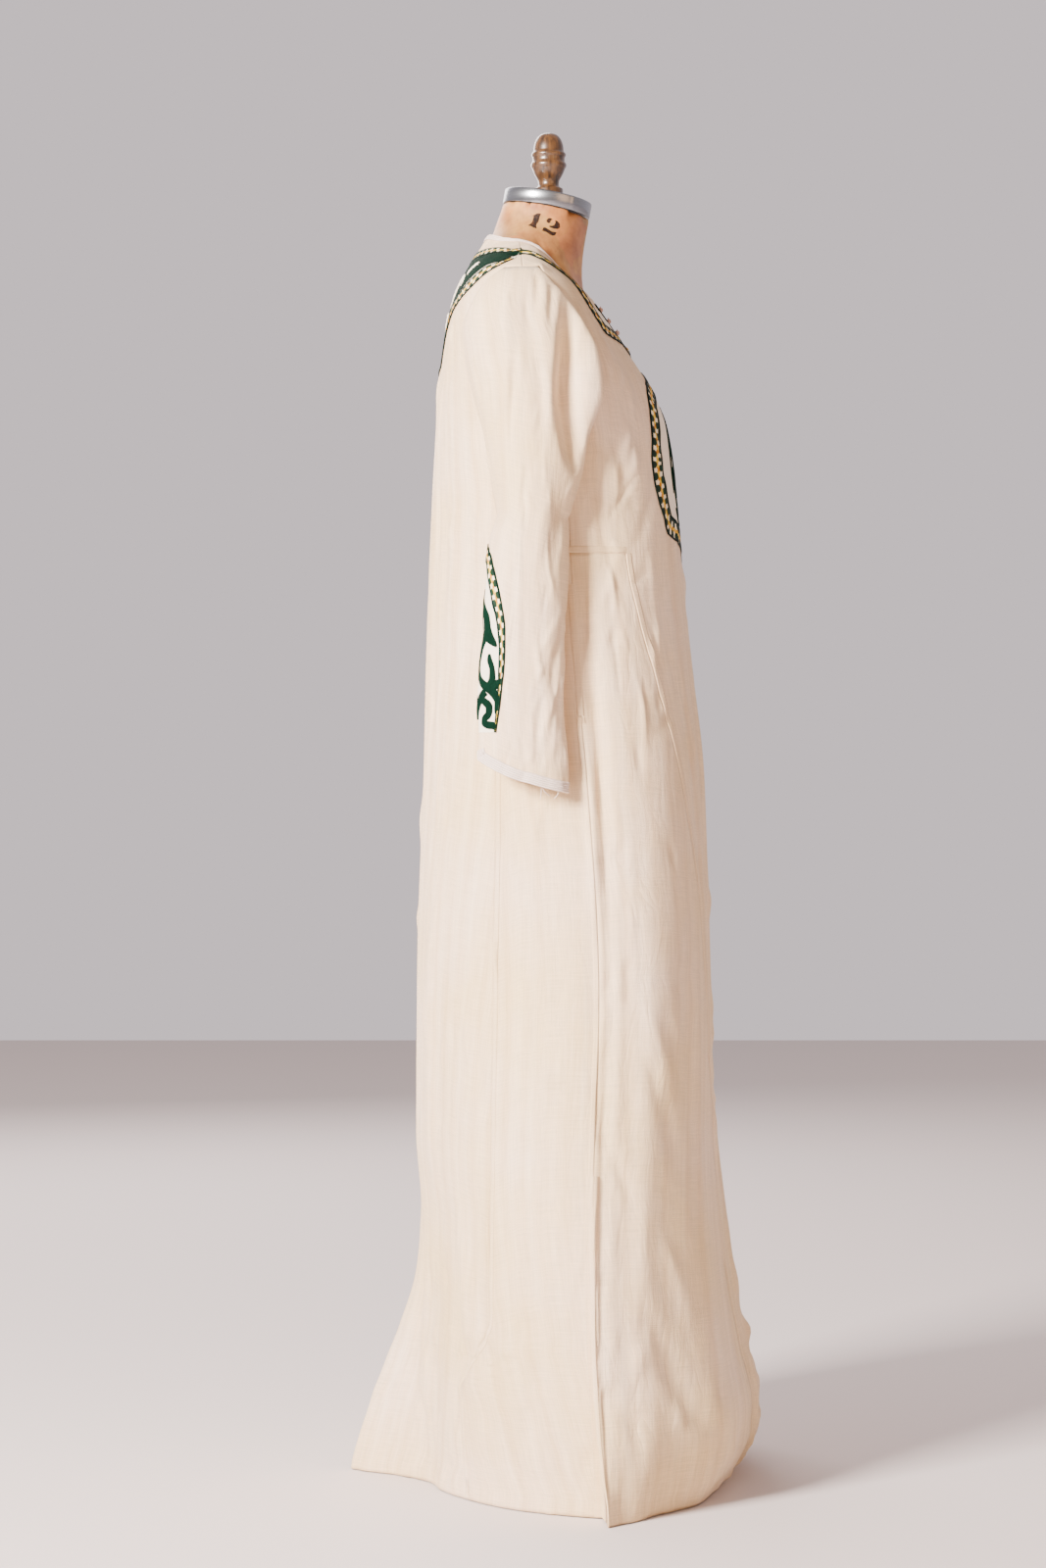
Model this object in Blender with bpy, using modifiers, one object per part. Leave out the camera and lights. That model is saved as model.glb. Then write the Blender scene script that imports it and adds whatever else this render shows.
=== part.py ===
"""Kaftan dress on a limbless dress form, in metres, +Z up.

The front faces -Y and the wearer's right side is at -X. The origin is on the floor, on the
pole's axis. The dress hangs from the form's shoulders and its hem stands on the floor.
Every cloth piece is cut from one of two surfaces: the body, a stack of sections round the
form, and the sleeve, a stack of rings below the armhole.
"""

import math

import bmesh
import bpy
import numpy as np
from mathutils import Matrix, Vector

# Cloth, and the trims and embroidery that lie on it
WALL = 0.0015
SEAM_GAP = 0.0003
TRIM_LIFT = 0.0003
TRIM_WALL = 0.0010
RAISED_BORDER = 0.0006

# Heights of the cut
UNDERARM_Z = 1.065
GORE_TOP_Z = 1.025
YOKE_Z = 1.205
ARMHOLE_TOP_Z = 1.334
SHOULDER_NECK_Z = 1.377
NECK_SLIT_HALF = 0.0012
HEM_SLIT_TOP_Z = 0.360
POCKET_TOP_Z = 0.985
POCKET_END_Z = 0.850
POCKET_HALF = 0.0014

# Sections of the body, from the floor up. The back half is narrower below the hem slits,
# so they stand open. The power is the superellipse's, 2 being an ellipse.
BODY_COLUMNS = ("z", "front", "back", "half", "back_half", "side_y", "front_power", "back_power")
BODY_ROWS = (
    (0.000, -0.203, 0.174, 0.337, 0.290, -0.056, 1.50, 1.50),
    (0.030, -0.228, 0.170, 0.336, 0.293, -0.054, 1.55, 1.50),
    (0.055, -0.236, 0.166, 0.334, 0.295, -0.052, 1.65, 1.55),
    (0.086, -0.236, 0.162, 0.330, 0.297, -0.049, 1.80, 1.60),
    (0.152, -0.220, 0.154, 0.320, 0.299, -0.045, 1.90, 1.70),
    (0.219, -0.206, 0.147, 0.310, 0.299, -0.043, 2.00, 1.80),
    (0.296, -0.194, 0.146, 0.298, 0.294, -0.042, 2.10, 1.90),
    (0.385, -0.184, 0.153, 0.282, 0.282, -0.044, 2.25, 2.00),
    (0.552, -0.178, 0.152, 0.247, 0.247, -0.050, 2.40, 2.10),
    (0.774, -0.171, 0.144, 0.204, 0.204, -0.038, 2.40, 2.20),
    (0.885, -0.160, 0.141, 0.187, 0.187, -0.028, 2.35, 2.20),
    (0.951, -0.153, 0.139, 0.178, 0.178, -0.023, 2.30, 2.20),
    (1.025, -0.146, 0.136, 0.172, 0.172, -0.019, 2.30, 2.20),
    (1.070, -0.142, 0.134, 0.172, 0.172, -0.014, 2.30, 2.20),
    (1.129, -0.137, 0.132, 0.177, 0.177, 0.000, 2.30, 2.20),
    (1.173, -0.130, 0.130, 0.182, 0.182, 0.008, 2.30, 2.20),
    (1.207, -0.118, 0.128, 0.187, 0.187, 0.015, 2.30, 2.20),
    (1.257, -0.087, 0.122, 0.195, 0.195, 0.024, 2.30, 2.20),
    (1.300, -0.056, 0.115, 0.199, 0.199, 0.030, 2.30, 2.20),
    (1.318, -0.043, 0.109, 0.196, 0.196, 0.031, 2.30, 2.20),
    (1.334, -0.024, 0.103, 0.183, 0.183, 0.032, 2.30, 2.20),
    (1.347, -0.011, 0.097, 0.158, 0.158, 0.033, 2.30, 2.20),
    (1.360, -0.002, 0.090, 0.127, 0.127, 0.034, 2.30, 2.20),
    (1.377, 0.010, 0.081, 0.088, 0.088, 0.036, 2.20, 2.20),
    (1.393, 0.024, 0.070, 0.074, 0.074, 0.042, 2.20, 2.20),
)

# The big folds: where each starts, where it reaches the hem or ends, how wide it is and how
# far it stands out. Angles are round the body, 0 at the centre front, 90 at the right side.
FOLD_COLUMNS = ("top_z", "top_angle", "end_z", "end_angle", "width", "height")
FOLD_ROWS = (
    (0.260, 180, 0.000, 179, 10, 0.052),
    (0.300, 158, 0.020, 155, 8, -0.012),
    (0.320, -160, 0.020, -152, 9, -0.010),
    (0.800, 126, 0.000, 124, 13, 0.007),
    (0.700, -128, 0.000, -122, 14, 0.010),
    (0.620, -108, 0.000, -106, 10, -0.009),
    (0.900, 82, 0.380, 79, 7, -0.007),
    (0.850, -80, 0.300, -78, 8, -0.006),
    (0.560, 58, 0.060, 62, 9, -0.008),
    (0.480, 40, 0.040, 44, 8, 0.008),
    (0.600, -60, 0.030, -64, 10, -0.009),
    (0.520, -36, 0.020, -34, 9, 0.009),
    (0.420, 14, 0.040, 17, 8, -0.005),
)

# Seams seen from the front or the side: half width of the front panel, and the armhole
FRONT_SEAM_COLUMNS = ("z", "x")
FRONT_SEAM_ROWS = (
    (0.000, 0.060),
    (0.250, 0.088),
    (0.450, 0.111),
    (0.655, 0.130),
    (0.750, 0.143),
    (0.930, 0.155),
    (1.025, 0.157),
    (1.070, 0.152),
    (1.150, 0.138),
    (1.240, 0.116),
    (1.300, 0.092),
    (1.393, 0.040),
)
BACK_SEAM_COLUMNS = ("z", "y")
BACK_SEAM_ROWS = (
    (0.000, 0.090),
    (0.117, 0.096),
    (0.206, 0.064),
    (0.600, 0.062),
    (1.025, 0.059),
)
ARMHOLE_COLUMNS = ("z", "front_y", "back_y")
ARMHOLE_ROWS = (
    (1.065, -0.0170, 0.0590),
    (1.106, -0.0250, 0.0661),
    (1.155, -0.0320, 0.0740),
    (1.200, -0.0440, 0.0860),
    (1.240, -0.0400, 0.0940),
    (1.270, -0.0290, 0.0965),
    (1.300, -0.0120, 0.0860),
    (1.320, 0.0020, 0.0700),
    (1.334, 0.0150, 0.0520),
)

# Neckline, at angles round the neck: its height, how far below it the embroidered band
# starts, and the height of the row of the grid that carries the armholes' tops, the end of
# the neck slit and the lower edge of the yoke on the back
NECK_COLUMNS = ("angle", "neck_z", "band_drop", "level_z")
NECK_ROWS = (
    (0, 1.313, 0.009, 1.272),
    (10, 1.319, 0.010, 1.277),
    (21, 1.338, 0.012, 1.288),
    (35, 1.356, 0.015, 1.306),
    (60, 1.370, 0.020, 1.328),
    (76, 1.375, 0.023, ARMHOLE_TOP_Z),
    (104, 1.379, 0.024, ARMHOLE_TOP_Z),
    (115, 1.382, 0.024, 1.326),
    (126, 1.385, 0.025, 1.316),
    (147, 1.389, 0.025, 1.298),
    (158, 1.390, 0.025, 1.287),
    (169, 1.391, 0.025, 1.262),
    (180, 1.391, 0.025, 1.228),
)
BINDING = 0.0065
BAND = 0.023

# Half width of the embroidery at the centre front: beside the neck slit, then the plastron
LEAF_COLUMNS = ("z", "x")
LEAF_ROWS = (
    (0.000, 0.018),
    (0.620, 0.045),
    (0.920, 0.045),
    (1.000, 0.018),
    (1.025, 0.006),
    (1.040, 0.046),
    (1.065, 0.106),
    (1.100, 0.116),
    (1.130, 0.119),
    (1.170, 0.112),
    (1.205, 0.100),
    (1.225, 0.066),
    (1.244, 0.012),
    (1.262, 0.040),
    (1.285, 0.072),
    (1.320, 0.056),
    (1.393, 0.026),
)

# Rings of the sleeve above the underarm (outer side only) and below it (all round)
CAP_COLUMNS = ("z", "out_x", "overhang", "trough_y", "trough")
CAP_ROWS = (
    (1.065, 0.2290, 0.004, -0.012, 0.000),
    (1.095, 0.2295, 0.008, -0.024, 0.004),
    (1.132, 0.2300, 0.009, -0.013, 0.017),
    (1.195, 0.2290, 0.011, -0.004, 0.023),
    (1.240, 0.2260, 0.006, -0.007, 0.020),
    (1.273, 0.2220, 0.002, -0.009, 0.013),
    (1.305, 0.2120, 0.000, -0.012, 0.004),
    (1.322, 0.2000, 0.000, -0.010, 0.000),
    (1.334, 0.1850, 0.000, -0.010, 0.000),
)
SLEEVE_COLUMNS = ("z", "back_y", "back_x", "front_y", "front_x", "out_x", "in_x")
SLEEVE_ROWS = (
    (0.760, 0.0807, 0.2240, -0.0180, 0.2240, 0.2440, 0.2090),
    (0.790, 0.0807, 0.2220, -0.0175, 0.2220, 0.2420, 0.2070),
    (0.860, 0.0798, 0.2140, -0.0120, 0.2140, 0.2370, 0.1990),
    (0.930, 0.0752, 0.2070, -0.0130, 0.2070, 0.2320, 0.1920),
    (1.000, 0.0710, 0.1960, -0.0175, 0.1970, 0.2290, 0.1860),
    (1.035, 0.0680, 0.1820, -0.0185, 0.1850, 0.2290, 0.1820),
    (1.065, 0.0590, 0.1620, -0.0170, 0.1745, 0.2290, 0.1800),
)
CUFF_BACK_Z = 0.800
CUFF_FRONT_Z = 0.764
CUFF_VENT = 0.012
CUFF_VENT_TURN = 14
CUFF_SAG = 0.006
CUFF_BRAID = 0.012
SLEEVE_POWER = 2.3

# The cap bulges forward over the armhole round this turn, and the trough behind its front
# ridge has a steep front wall and a gentler back one
OVERHANG_TURN = 155
OVERHANG_WIDTH = 22
OVERHANG_EASE = 12
TROUGH_FRONT = 0.007
TROUGH_BACK = 0.013

# The embroidered arch over the cuff: each height, and half its width there
ARCH_ROWS = (
    (0.829, 0.027),
    (0.870, 0.030),
    (0.915, 0.030),
    (0.955, 0.027),
    (0.985, 0.020),
    (1.010, 0.012),
    (1.032, 0.001),
)
ARCH_LIFT = 0.0015

# How far the form's own surface lies inside the dress
EASE_COLUMNS = ("z", "ease")
EASE_ROWS = (
    (0.800, 0.030),
    (0.860, 0.029),
    (0.920, 0.034),
    (0.975, 0.043),
    (1.040, 0.027),
    (1.090, 0.014),
    (1.140, 0.009),
    (1.200, 0.006),
    (1.250, 0.0032),
    (1.290, 0.0021),
    (1.400, 0.0021),
)
TORSO_BOTTOM_Z = 0.800

# Rings of the form's neck above the neckline: each one's front, side and back
NECK_RING_COLUMNS = ("front_y", "front_z", "side_x", "side_y", "side_z", "back_y", "back_z", "lean")
NECK_RING_ROWS = (
    (-0.0375, 1.326, 0.0720, 0.030, 1.3830, 0.0655, 1.3955, 1.7),
    (-0.0345, 1.345, 0.0600, 0.021, 1.3905, 0.0640, 1.4030, 1.5),
    (-0.0355, 1.370, 0.0530, 0.014, 1.4000, 0.0605, 1.4120, 1.3),
    (-0.0395, 1.393, 0.0500, 0.009, 1.4100, 0.0570, 1.4220, 1.1),
    (-0.0433, 1.4130, 0.0480, 0.0055, 1.4219, 0.0544, 1.4308, 1.0),
)
NECK_AXIS_Y = 0.015
CAP_RADIUS = 0.0497
CAP_HEIGHT = 0.0165
CAP_CENTRE = (0.0, 0.0055, 1.4219)
CAP_TILT = math.atan2(0.0178, 0.0977)
CAP_BEVEL = 0.0012
KNOB_STEPS = 20
CAP_STEPS = 36
BASE_STEPS = 36
POLE_STEPS = 20

# Turned profiles, as radius and height from the top down
KNOB_ROWS = (
    (0.0000, 1.5100),
    (0.0060, 1.5092),
    (0.0110, 1.5062),
    (0.0148, 1.5008),
    (0.0165, 1.4945),
    (0.0172, 1.4905),
    (0.0192, 1.4880),
    (0.0196, 1.4855),
    (0.0184, 1.4832),
    (0.0184, 1.4790),
    (0.0200, 1.4765),
    (0.0202, 1.4735),
    (0.0190, 1.4708),
    (0.0172, 1.4665),
    (0.0142, 1.4605),
    (0.0118, 1.4560),
    (0.0115, 1.4520),
    (0.0130, 1.4490),
    (0.0160, 1.4475),
    (0.0165, 1.4440),
    (0.0165, 1.4300),
    (0.0000, 1.4300),
)
POLE_RADIUS = 0.0125
BASE_RADIUS = 0.150
BASE_ROWS = (
    (0.0000, 0.0420),
    (0.0240, 0.0420),
    (0.0260, 0.0400),
    (0.0280, 0.0240),
    (0.0450, 0.0190),
    (0.1200, 0.0140),
    (0.1450, 0.0110),
    (BASE_RADIUS, 0.0060),
    (BASE_RADIUS, 0.0000),
    (0.0000, 0.0000),
)

# The flap in the neck slit, which stands out most near its top, and the buttons and loops
PLACKET_FOOT_Z = 1.2745
PLACKET_TOP_Z = 1.3150
PLACKET_REACH = 0.0060
PLACKET_WALL = 0.0012
PLACKET_STEPS = 8
PLACKET_SHARES = (0.03, 0.78)
BUTTON_HEIGHTS = (1.306, 1.293, 1.280)
BUTTON_ANGLE = 2.4
BUTTON_RADIUS = 0.0030
LOOP_WIRE = 0.0006
LOOP_REACH = 0.0060
LOOP_TURNS = range(-50, 231, 35)

# Rows and columns of the body's grid: heights below the yoke, shares of the way from there
# to the level of the armholes' tops, then distances below the neckline. The columns are
# counted between seams.
SKIRT_HEIGHTS = (0.0003, 0.022, 0.050, 0.085, 0.130, 0.190, 0.270, HEM_SLIT_TOP_Z, 0.480, 0.620, 0.750)
HIP_HEIGHTS = (POCKET_END_Z, 0.920, POCKET_TOP_Z, GORE_TOP_Z)
BODICE_HEIGHTS = (UNDERARM_Z, 1.100, 1.135, 1.170, YOKE_Z)
YOKE_SHARES = (0.30, 0.58, 0.80, 1.0)
LEAF_INNER_SHARE = 0.62
SLIT_SPAN, LEAF_SPANS, FRONT_SPAN, SIDE_SPAN, WINDOW_SPAN, BACK_SPAN = 1, 1, 4, 6, 3, 7
OUTER_SPAN = 14
INNER_SPAN = 8
ARCH_SPAN = 16

# Steps for slopes and normals
ANGLE_STEP = 1.0
TURN_STEP = 2.0
RISE_STEP = 0.003

# Each finish: its name, colour, roughness and metallic value
CLOTH = ("cloth", (0.88, 0.79, 0.66, 1.0), 0.85, 0.0)
BRAID = ("braid", (0.90, 0.83, 0.78, 1.0), 0.75, 0.0)
EMBROIDERY = ("embroidery", (0.02, 0.10, 0.06, 1.0), 0.70, 0.0)
KRAFT = ("kraft", (0.62, 0.38, 0.18, 1.0), 0.60, 0.0)
STEEL = ("steel", (0.60, 0.61, 0.63, 1.0), 0.30, 1.0)
WOOD = ("wood", (0.20, 0.10, 0.04, 1.0), 0.35, 0.0)
IRON = ("iron", (0.05, 0.05, 0.05, 1.0), 0.50, 0.6)


def curve_through(places, values, at):
    """A smooth curve through a table's values, level where they turn back."""
    step = np.diff(places)
    slope = np.diff(values) / step
    product = slope[1:] * slope[:-1]
    total = slope[1:] + slope[:-1]
    inner = np.where(product > 0, 2 * product / np.where(product > 0, total, 1), 0)
    tangent = np.concatenate([slope[:1], inner, slope[-1:]])
    at = np.clip(at, places[0], places[-1])
    i = np.clip(np.searchsorted(places, at, side="right") - 1, 0, len(step) - 1)
    t = (at - places[i]) / step[i]
    start = (1 + 2 * t) * (1 - t) ** 2 * values[i] + t * (1 - t) ** 2 * step[i] * tangent[i]
    end = t * t * (3 - 2 * t) * values[i + 1] + t * t * (t - 1) * step[i] * tangent[i + 1]
    return start + end


def read(columns, rows, name, at):
    """One named column of a table, read at the value of its first column."""
    table = np.array(rows, float)
    return curve_through(table[:, 0], table[:, columns.index(name)], np.asarray(at, float))


def smoothstep(value):
    value = np.clip(value, 0, 1)
    return value * value * (3 - 2 * value)


def body(angle, z):
    """The outer face of the dress's body at an angle round it, in degrees, and a height."""
    angle, z = np.broadcast_arrays(np.asarray(angle, float), np.asarray(z, float))
    angle = (angle + 180) % 360 - 180
    section = {name: read(BODY_COLUMNS, BODY_ROWS, name, z) for name in BODY_COLUMNS[1:]}
    turn = np.radians(angle)
    sine, cosine = np.sin(np.abs(turn)), np.cos(turn)
    is_front = np.abs(angle) <= 90
    power = np.where(is_front, section["front_power"], section["back_power"])
    half = np.where(is_front, section["half"], section["back_half"])
    depth = np.where(is_front, section["side_y"] - section["front"], section["back"] - section["side_y"])
    x = -np.sign(angle) * half * np.clip(sine, 0, 1) ** (2 / power)
    y = section["side_y"] - np.sign(cosine) * depth * np.abs(cosine) ** (2 / power)
    push = np.zeros_like(z)
    for row in FOLD_ROWS:
        fold = dict(zip(FOLD_COLUMNS, row))
        along = (fold["top_z"] - z) / (fold["top_z"] - fold["end_z"])
        centre = fold["top_angle"] + (fold["end_angle"] - fold["top_angle"]) * np.clip(along, 0, 1.2)
        across = (angle - centre + 180) % 360 - 180
        push = push + fold["height"] * smoothstep(along) * np.exp(-((across / fold["width"]) ** 2))
    return np.stack([x - push * np.sin(turn), y - push * cosine, z], axis=-1)


def outward(surface, turn, z, turn_step, turn_limits):
    """A surface's outward normal by central differences, its turns kept inside limits."""
    low, high = np.clip(turn - turn_step, *turn_limits), np.clip(turn + turn_step, *turn_limits)
    around = surface(high, z) - surface(low, z)
    rise = surface(turn, z + RISE_STEP) - surface(turn, z - RISE_STEP)
    normal = np.cross(rise, around)
    return normal / np.linalg.norm(normal, axis=-1, keepdims=True)


def body_normal(angle, z):
    """The body's outward normal. The sides, where the hem slits open, end its smooth runs."""
    angle = (np.asarray(angle, float) + 180) % 360 - 180
    is_front = np.abs(angle) <= 90
    low = np.where(is_front, -90, np.where(angle > 0, 90.001, -270))
    high = np.where(is_front, 90, np.where(angle > 0, 270, -90.001))
    return outward(body, angle, z, ANGLE_STEP, (low, high))


def angle_at_y(y, z):
    """The angle, in degrees, where the right side of the body's plain section reaches y."""
    section = {name: read(BODY_COLUMNS, BODY_ROWS, name, z) for name in BODY_COLUMNS[1:]}
    ahead = section["side_y"] - y
    depth = np.where(ahead >= 0, section["side_y"] - section["front"], section["back"] - section["side_y"])
    power = np.where(ahead >= 0, section["front_power"], section["back_power"])
    cosine = np.clip(np.abs(ahead) / depth, 0, 1) ** (power / 2)
    return np.degrees(np.arccos(np.sign(ahead) * cosine))


def angle_at_x(x, z):
    """The angle, in degrees, where the front of the body's plain section is x wide."""
    half = read(BODY_COLUMNS, BODY_ROWS, "half", z)
    power = read(BODY_COLUMNS, BODY_ROWS, "front_power", z)
    return np.degrees(np.arcsin(np.clip(x / half, 0, 1) ** (power / 2)))


def seam_angles(z):
    """Angles of the right side's seams and guide lines at a height, from front to back."""
    slit = angle_at_x(NECK_SLIT_HALF, z)
    leaf = angle_at_x(read(LEAF_COLUMNS, LEAF_ROWS, "x", z), z)
    leaf_inner = slit + (leaf - slit) * LEAF_INNER_SHARE
    front_seam = angle_at_x(read(FRONT_SEAM_COLUMNS, FRONT_SEAM_ROWS, "x", z), z)
    armhole_z = np.clip(z, UNDERARM_Z, ARMHOLE_TOP_Z)
    front_armhole = angle_at_y(read(ARMHOLE_COLUMNS, ARMHOLE_ROWS, "front_y", armhole_z), armhole_z)
    back_armhole = angle_at_y(read(ARMHOLE_COLUMNS, ARMHOLE_ROWS, "back_y", armhole_z), armhole_z)
    back_seam = angle_at_y(read(BACK_SEAM_COLUMNS, BACK_SEAM_ROWS, "y", z), z)
    join = smoothstep((z - GORE_TOP_Z) / (UNDERARM_Z - GORE_TOP_Z))
    side = np.where(z < UNDERARM_Z, 90 + (front_armhole - 90) * join, front_armhole)
    back = np.where(z < UNDERARM_Z, back_seam + (back_armhole - back_seam) * join, back_armhole)
    shoulder = np.where(z > ARMHOLE_TOP_Z, 90.0, (side + back) / 2)
    return slit, leaf_inner, leaf, front_seam, side, shoulder, back, np.full_like(back, 180.0)


SPANS = (SLIT_SPAN, LEAF_SPANS, LEAF_SPANS, FRONT_SPAN, SIDE_SPAN, WINDOW_SPAN, WINDOW_SPAN, BACK_SPAN)
SLIT, LEAF_INNER, LEAF, FRONT_SEAM, SIDE, SHOULDER, BACK_SEAM, CENTRE_BACK = np.cumsum(SPANS)
ROWS = SKIRT_HEIGHTS + HIP_HEIGHTS + BODICE_HEIGHTS
HEM_SLIT_ROW = ROWS.index(HEM_SLIT_TOP_Z)
POCKET_END_ROW = ROWS.index(POCKET_END_Z)
POCKET_TOP_ROW = ROWS.index(POCKET_TOP_Z)
GORE_ROW = ROWS.index(GORE_TOP_Z)
UNDERARM_ROW = ROWS.index(UNDERARM_Z)
YOKE_ROW = ROWS.index(YOKE_Z)
PLASTRON_TOP_ROW = YOKE_ROW + 2
COLLAR_FOOT_ROW = YOKE_ROW + 3
LEVEL_ROW = YOKE_ROW + len(YOKE_SHARES)
BAND_LOW_ROW = LEVEL_ROW + 2
BAND_TOP_ROW = BAND_LOW_ROW + 2
BINDING_ROW = BAND_TOP_ROW + 1
NECK_ROW = BINDING_ROW + 1
TORSO_SKIPPED_ROWS = (GORE_ROW, UNDERARM_ROW + 1, YOKE_ROW - 1)
TORSO_GRID_ROWS = [None] + [row for row in range(POCKET_END_ROW, NECK_ROW + 1) if row not in TORSO_SKIPPED_ROWS]


def grid_angles(z):
    """The angles of the right half's columns at each of some heights."""
    z = np.asarray(z, float)
    ends = [np.zeros_like(z)] + [np.asarray(angle) for angle in seam_angles(z)]
    columns = [ends[0]]
    for span, start, end in zip(SPANS, ends[:-1], ends[1:]):
        columns += [start + (end - start) * (step + 1) / span for step in range(span)]
    return np.stack(columns, axis=-1)


def on_columns(heights):
    """The angle of each column of the right half at that column's own height."""
    return np.diagonal(grid_angles(heights))


def drop_below(heights, distance):
    """How high the grid's columns are this far, along the cloth, below some heights."""
    lower = heights.copy()
    for _ in range(12):
        angles = on_columns(lower)
        rise = np.linalg.norm(body(angles, lower) - body(angles, lower - 0.002), axis=-1) / 0.002
        lower = lower - distance / 12 / rise
    return lower


def half_grid():
    """Angles and heights of the right half of the body's grid, rows by columns."""
    column_count = CENTRE_BACK + 1
    rows = [np.full(column_count, z) for z in ROWS]
    neck_angles = on_columns(np.full(column_count, SHOULDER_NECK_Z))
    neck, gap, level = (read(NECK_COLUMNS, NECK_ROWS, name, neck_angles) for name in NECK_COLUMNS[1:])
    band_top = drop_below(neck, gap)
    band_low = drop_below(neck, gap + BAND)
    rows += [YOKE_Z + (level - YOKE_Z) * share for share in YOKE_SHARES]
    rows += [(level + band_low) / 2, band_low, (band_low + band_top) / 2, band_top]
    rows += [drop_below(neck, np.full(column_count, BINDING)), neck]
    heights = np.array(rows)
    return np.array([on_columns(row) for row in heights]), heights


def full_grid():
    """The whole body's grid: the left half mirrors the right, and the centre back closes it."""
    angles, heights = half_grid()
    left = -angles[:, ::-1]
    return np.hstack([left[:, :-1], angles]), np.hstack([heights[:, ::-1][:, :-1], heights])


def collection(name):
    made = bpy.data.collections.new(name)
    bpy.context.scene.collection.children.link(made)
    return made


def material(finish):
    name, colour, roughness, metallic = finish
    made = bpy.data.materials.get(name) or bpy.data.materials.new(name)
    made.use_nodes = True
    shader = made.node_tree.nodes["Principled BSDF"]
    shader.inputs["Base Color"].default_value = colour
    shader.inputs["Roughness"].default_value = roughness
    shader.inputs["Metallic"].default_value = metallic
    made.diffuse_color = colour
    return made


def add_object(name, data, finish, home):
    made = bpy.data.objects.new(name, data)
    data.materials.append(material(finish))
    home.objects.link(made)
    return made


def add_mesh(name, shape, finish, home):
    """Makes an object of a finished bmesh, shaded smooth."""
    data = bpy.data.meshes.new(name)
    shape.normal_update()
    shape.to_mesh(data)
    shape.free()
    data.shade_smooth()
    data.set_sharp_from_angle(angle=math.radians(40))
    return add_object(name, data, finish, home)


def wall_between(outer, inner, cells, is_ring=False):
    """A closed wall from two grids of points, one face of it for each cell that is cut.

    It is a loft between unlike sections. The inner points lie along the surface's own
    normals, so the walls of two pieces stay parallel at their seam, and each cell is split
    along the same diagonal on both faces, so what lies on a panel is parallel to it too.
    A ring's last column of cells comes back to its first column of points.
    """
    shape = bmesh.new()
    rows, columns = cells.shape
    made = {}

    def vertex(row, column, face):
        key = (row, column % columns if is_ring else column, face)
        if key not in made:
            made[key] = shape.verts.new((outer, inner)[face][key[:2]])
        return made[key]

    def is_cut(row, column):
        column = column % columns if is_ring else column
        return 0 <= row < rows and 0 <= column < columns and cells[row, column]

    for row, column in zip(*np.nonzero(cells)):
        row, column = int(row), int(column)
        corners = ((row, column), (row, column + 1), (row + 1, column + 1), (row + 1, column))
        for triangle in (corners[:3], (corners[0], *corners[2:])):
            shape.faces.new([vertex(*corner, 0) for corner in triangle])
            shape.faces.new([vertex(*corner, 1) for corner in reversed(triangle)])
        neighbours = ((row - 1, column), (row, column + 1), (row + 1, column), (row, column - 1))
        for index, neighbour in enumerate(neighbours):
            if not is_cut(*neighbour):
                first, second = corners[index], corners[(index + 1) % 4]
                rim = [vertex(*second, 0), vertex(*first, 0), vertex(*first, 1), vertex(*second, 1)]
                shape.faces.new(rim)
    bmesh.ops.recalc_face_normals(shape, faces=shape.faces)
    return shape


def closed_loft(rings):
    """A closed solid through rings of points that all have the same number of points."""
    shape = bmesh.new()
    made = [[shape.verts.new(point) for point in ring] for ring in rings]
    for low, high in zip(made[:-1], made[1:]):
        for index in range(len(low)):
            after = (index + 1) % len(low)
            shape.faces.new((low[index], low[after], high[after]))
            shape.faces.new((low[index], high[after], high[index]))
    shape.faces.new(made[0])
    shape.faces.new(made[-1])
    bmesh.ops.recalc_face_normals(shape, faces=shape.faces)
    return shape


def seam_shift(cells):
    """Which way each grid point moves to leave half a seam's gap: across, and up or down."""
    padded = np.pad(cells, 1)
    low_left, low_right = padded[:-1, :-1], padded[:-1, 1:]
    high_left, high_right = padded[1:, :-1], padded[1:, 1:]
    across = np.sign((low_right.astype(int) + high_right) - (low_left.astype(int) + high_left))
    upward = np.sign((high_left.astype(int) + high_right) - (low_left.astype(int) + low_right))
    return across, upward


def from_centre_back(grid):
    """The same grid, turned so that the centre back lies in its middle."""
    middle = CENTRE_BACK
    angles, heights = grid
    angles = np.hstack([angles[:, middle:], angles[:, 1 : middle + 1] + 360])
    return angles, np.hstack([heights[:, middle:], heights[:, 1 : middle + 1]])


def body_piece(name, cells, grid, home, finish=CLOTH, spread=0.0, between=(-WALL, 0.0)):
    """One piece of the dress's body, from the cells of the grid that it covers, between two
    heights over the dress's outer face. Its edges keep half a seam's gap."""
    angles, heights = grid
    across, upward = seam_shift(cells)
    ahead, behind = body(angles + ANGLE_STEP, heights), body(angles - ANGLE_STEP, heights)
    per_degree = np.linalg.norm(ahead - behind, axis=-1) / (2 * ANGLE_STEP)
    angles = angles + across * (SEAM_GAP / 2 + spread) / per_degree
    inside = (heights > SKIRT_HEIGHTS[0]) & (heights < YOKE_Z)
    heights = heights + upward * SEAM_GAP / 2 * inside
    points, normal = body(angles, heights), body_normal(angles, heights)
    inner, outer = (points + normal * np.asarray(height)[..., None] for height in between)
    inner[0, :, 2] = outer[0, :, 2]
    return add_mesh(name, wall_between(outer, inner, cells), finish, home)


def body_masks():
    """For each cell of the grid: its row, its place from the centre front, and its side."""
    row, column = np.mgrid[0:NECK_ROW, 0 : 2 * CENTRE_BACK]
    is_right = column >= CENTRE_BACK
    place = np.where(is_right, column - CENTRE_BACK, CENTRE_BACK - 1 - column)
    return row, place, is_right


def turned(cells):
    return np.hstack([cells[:, CENTRE_BACK:], cells[:, :CENTRE_BACK]])


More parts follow.
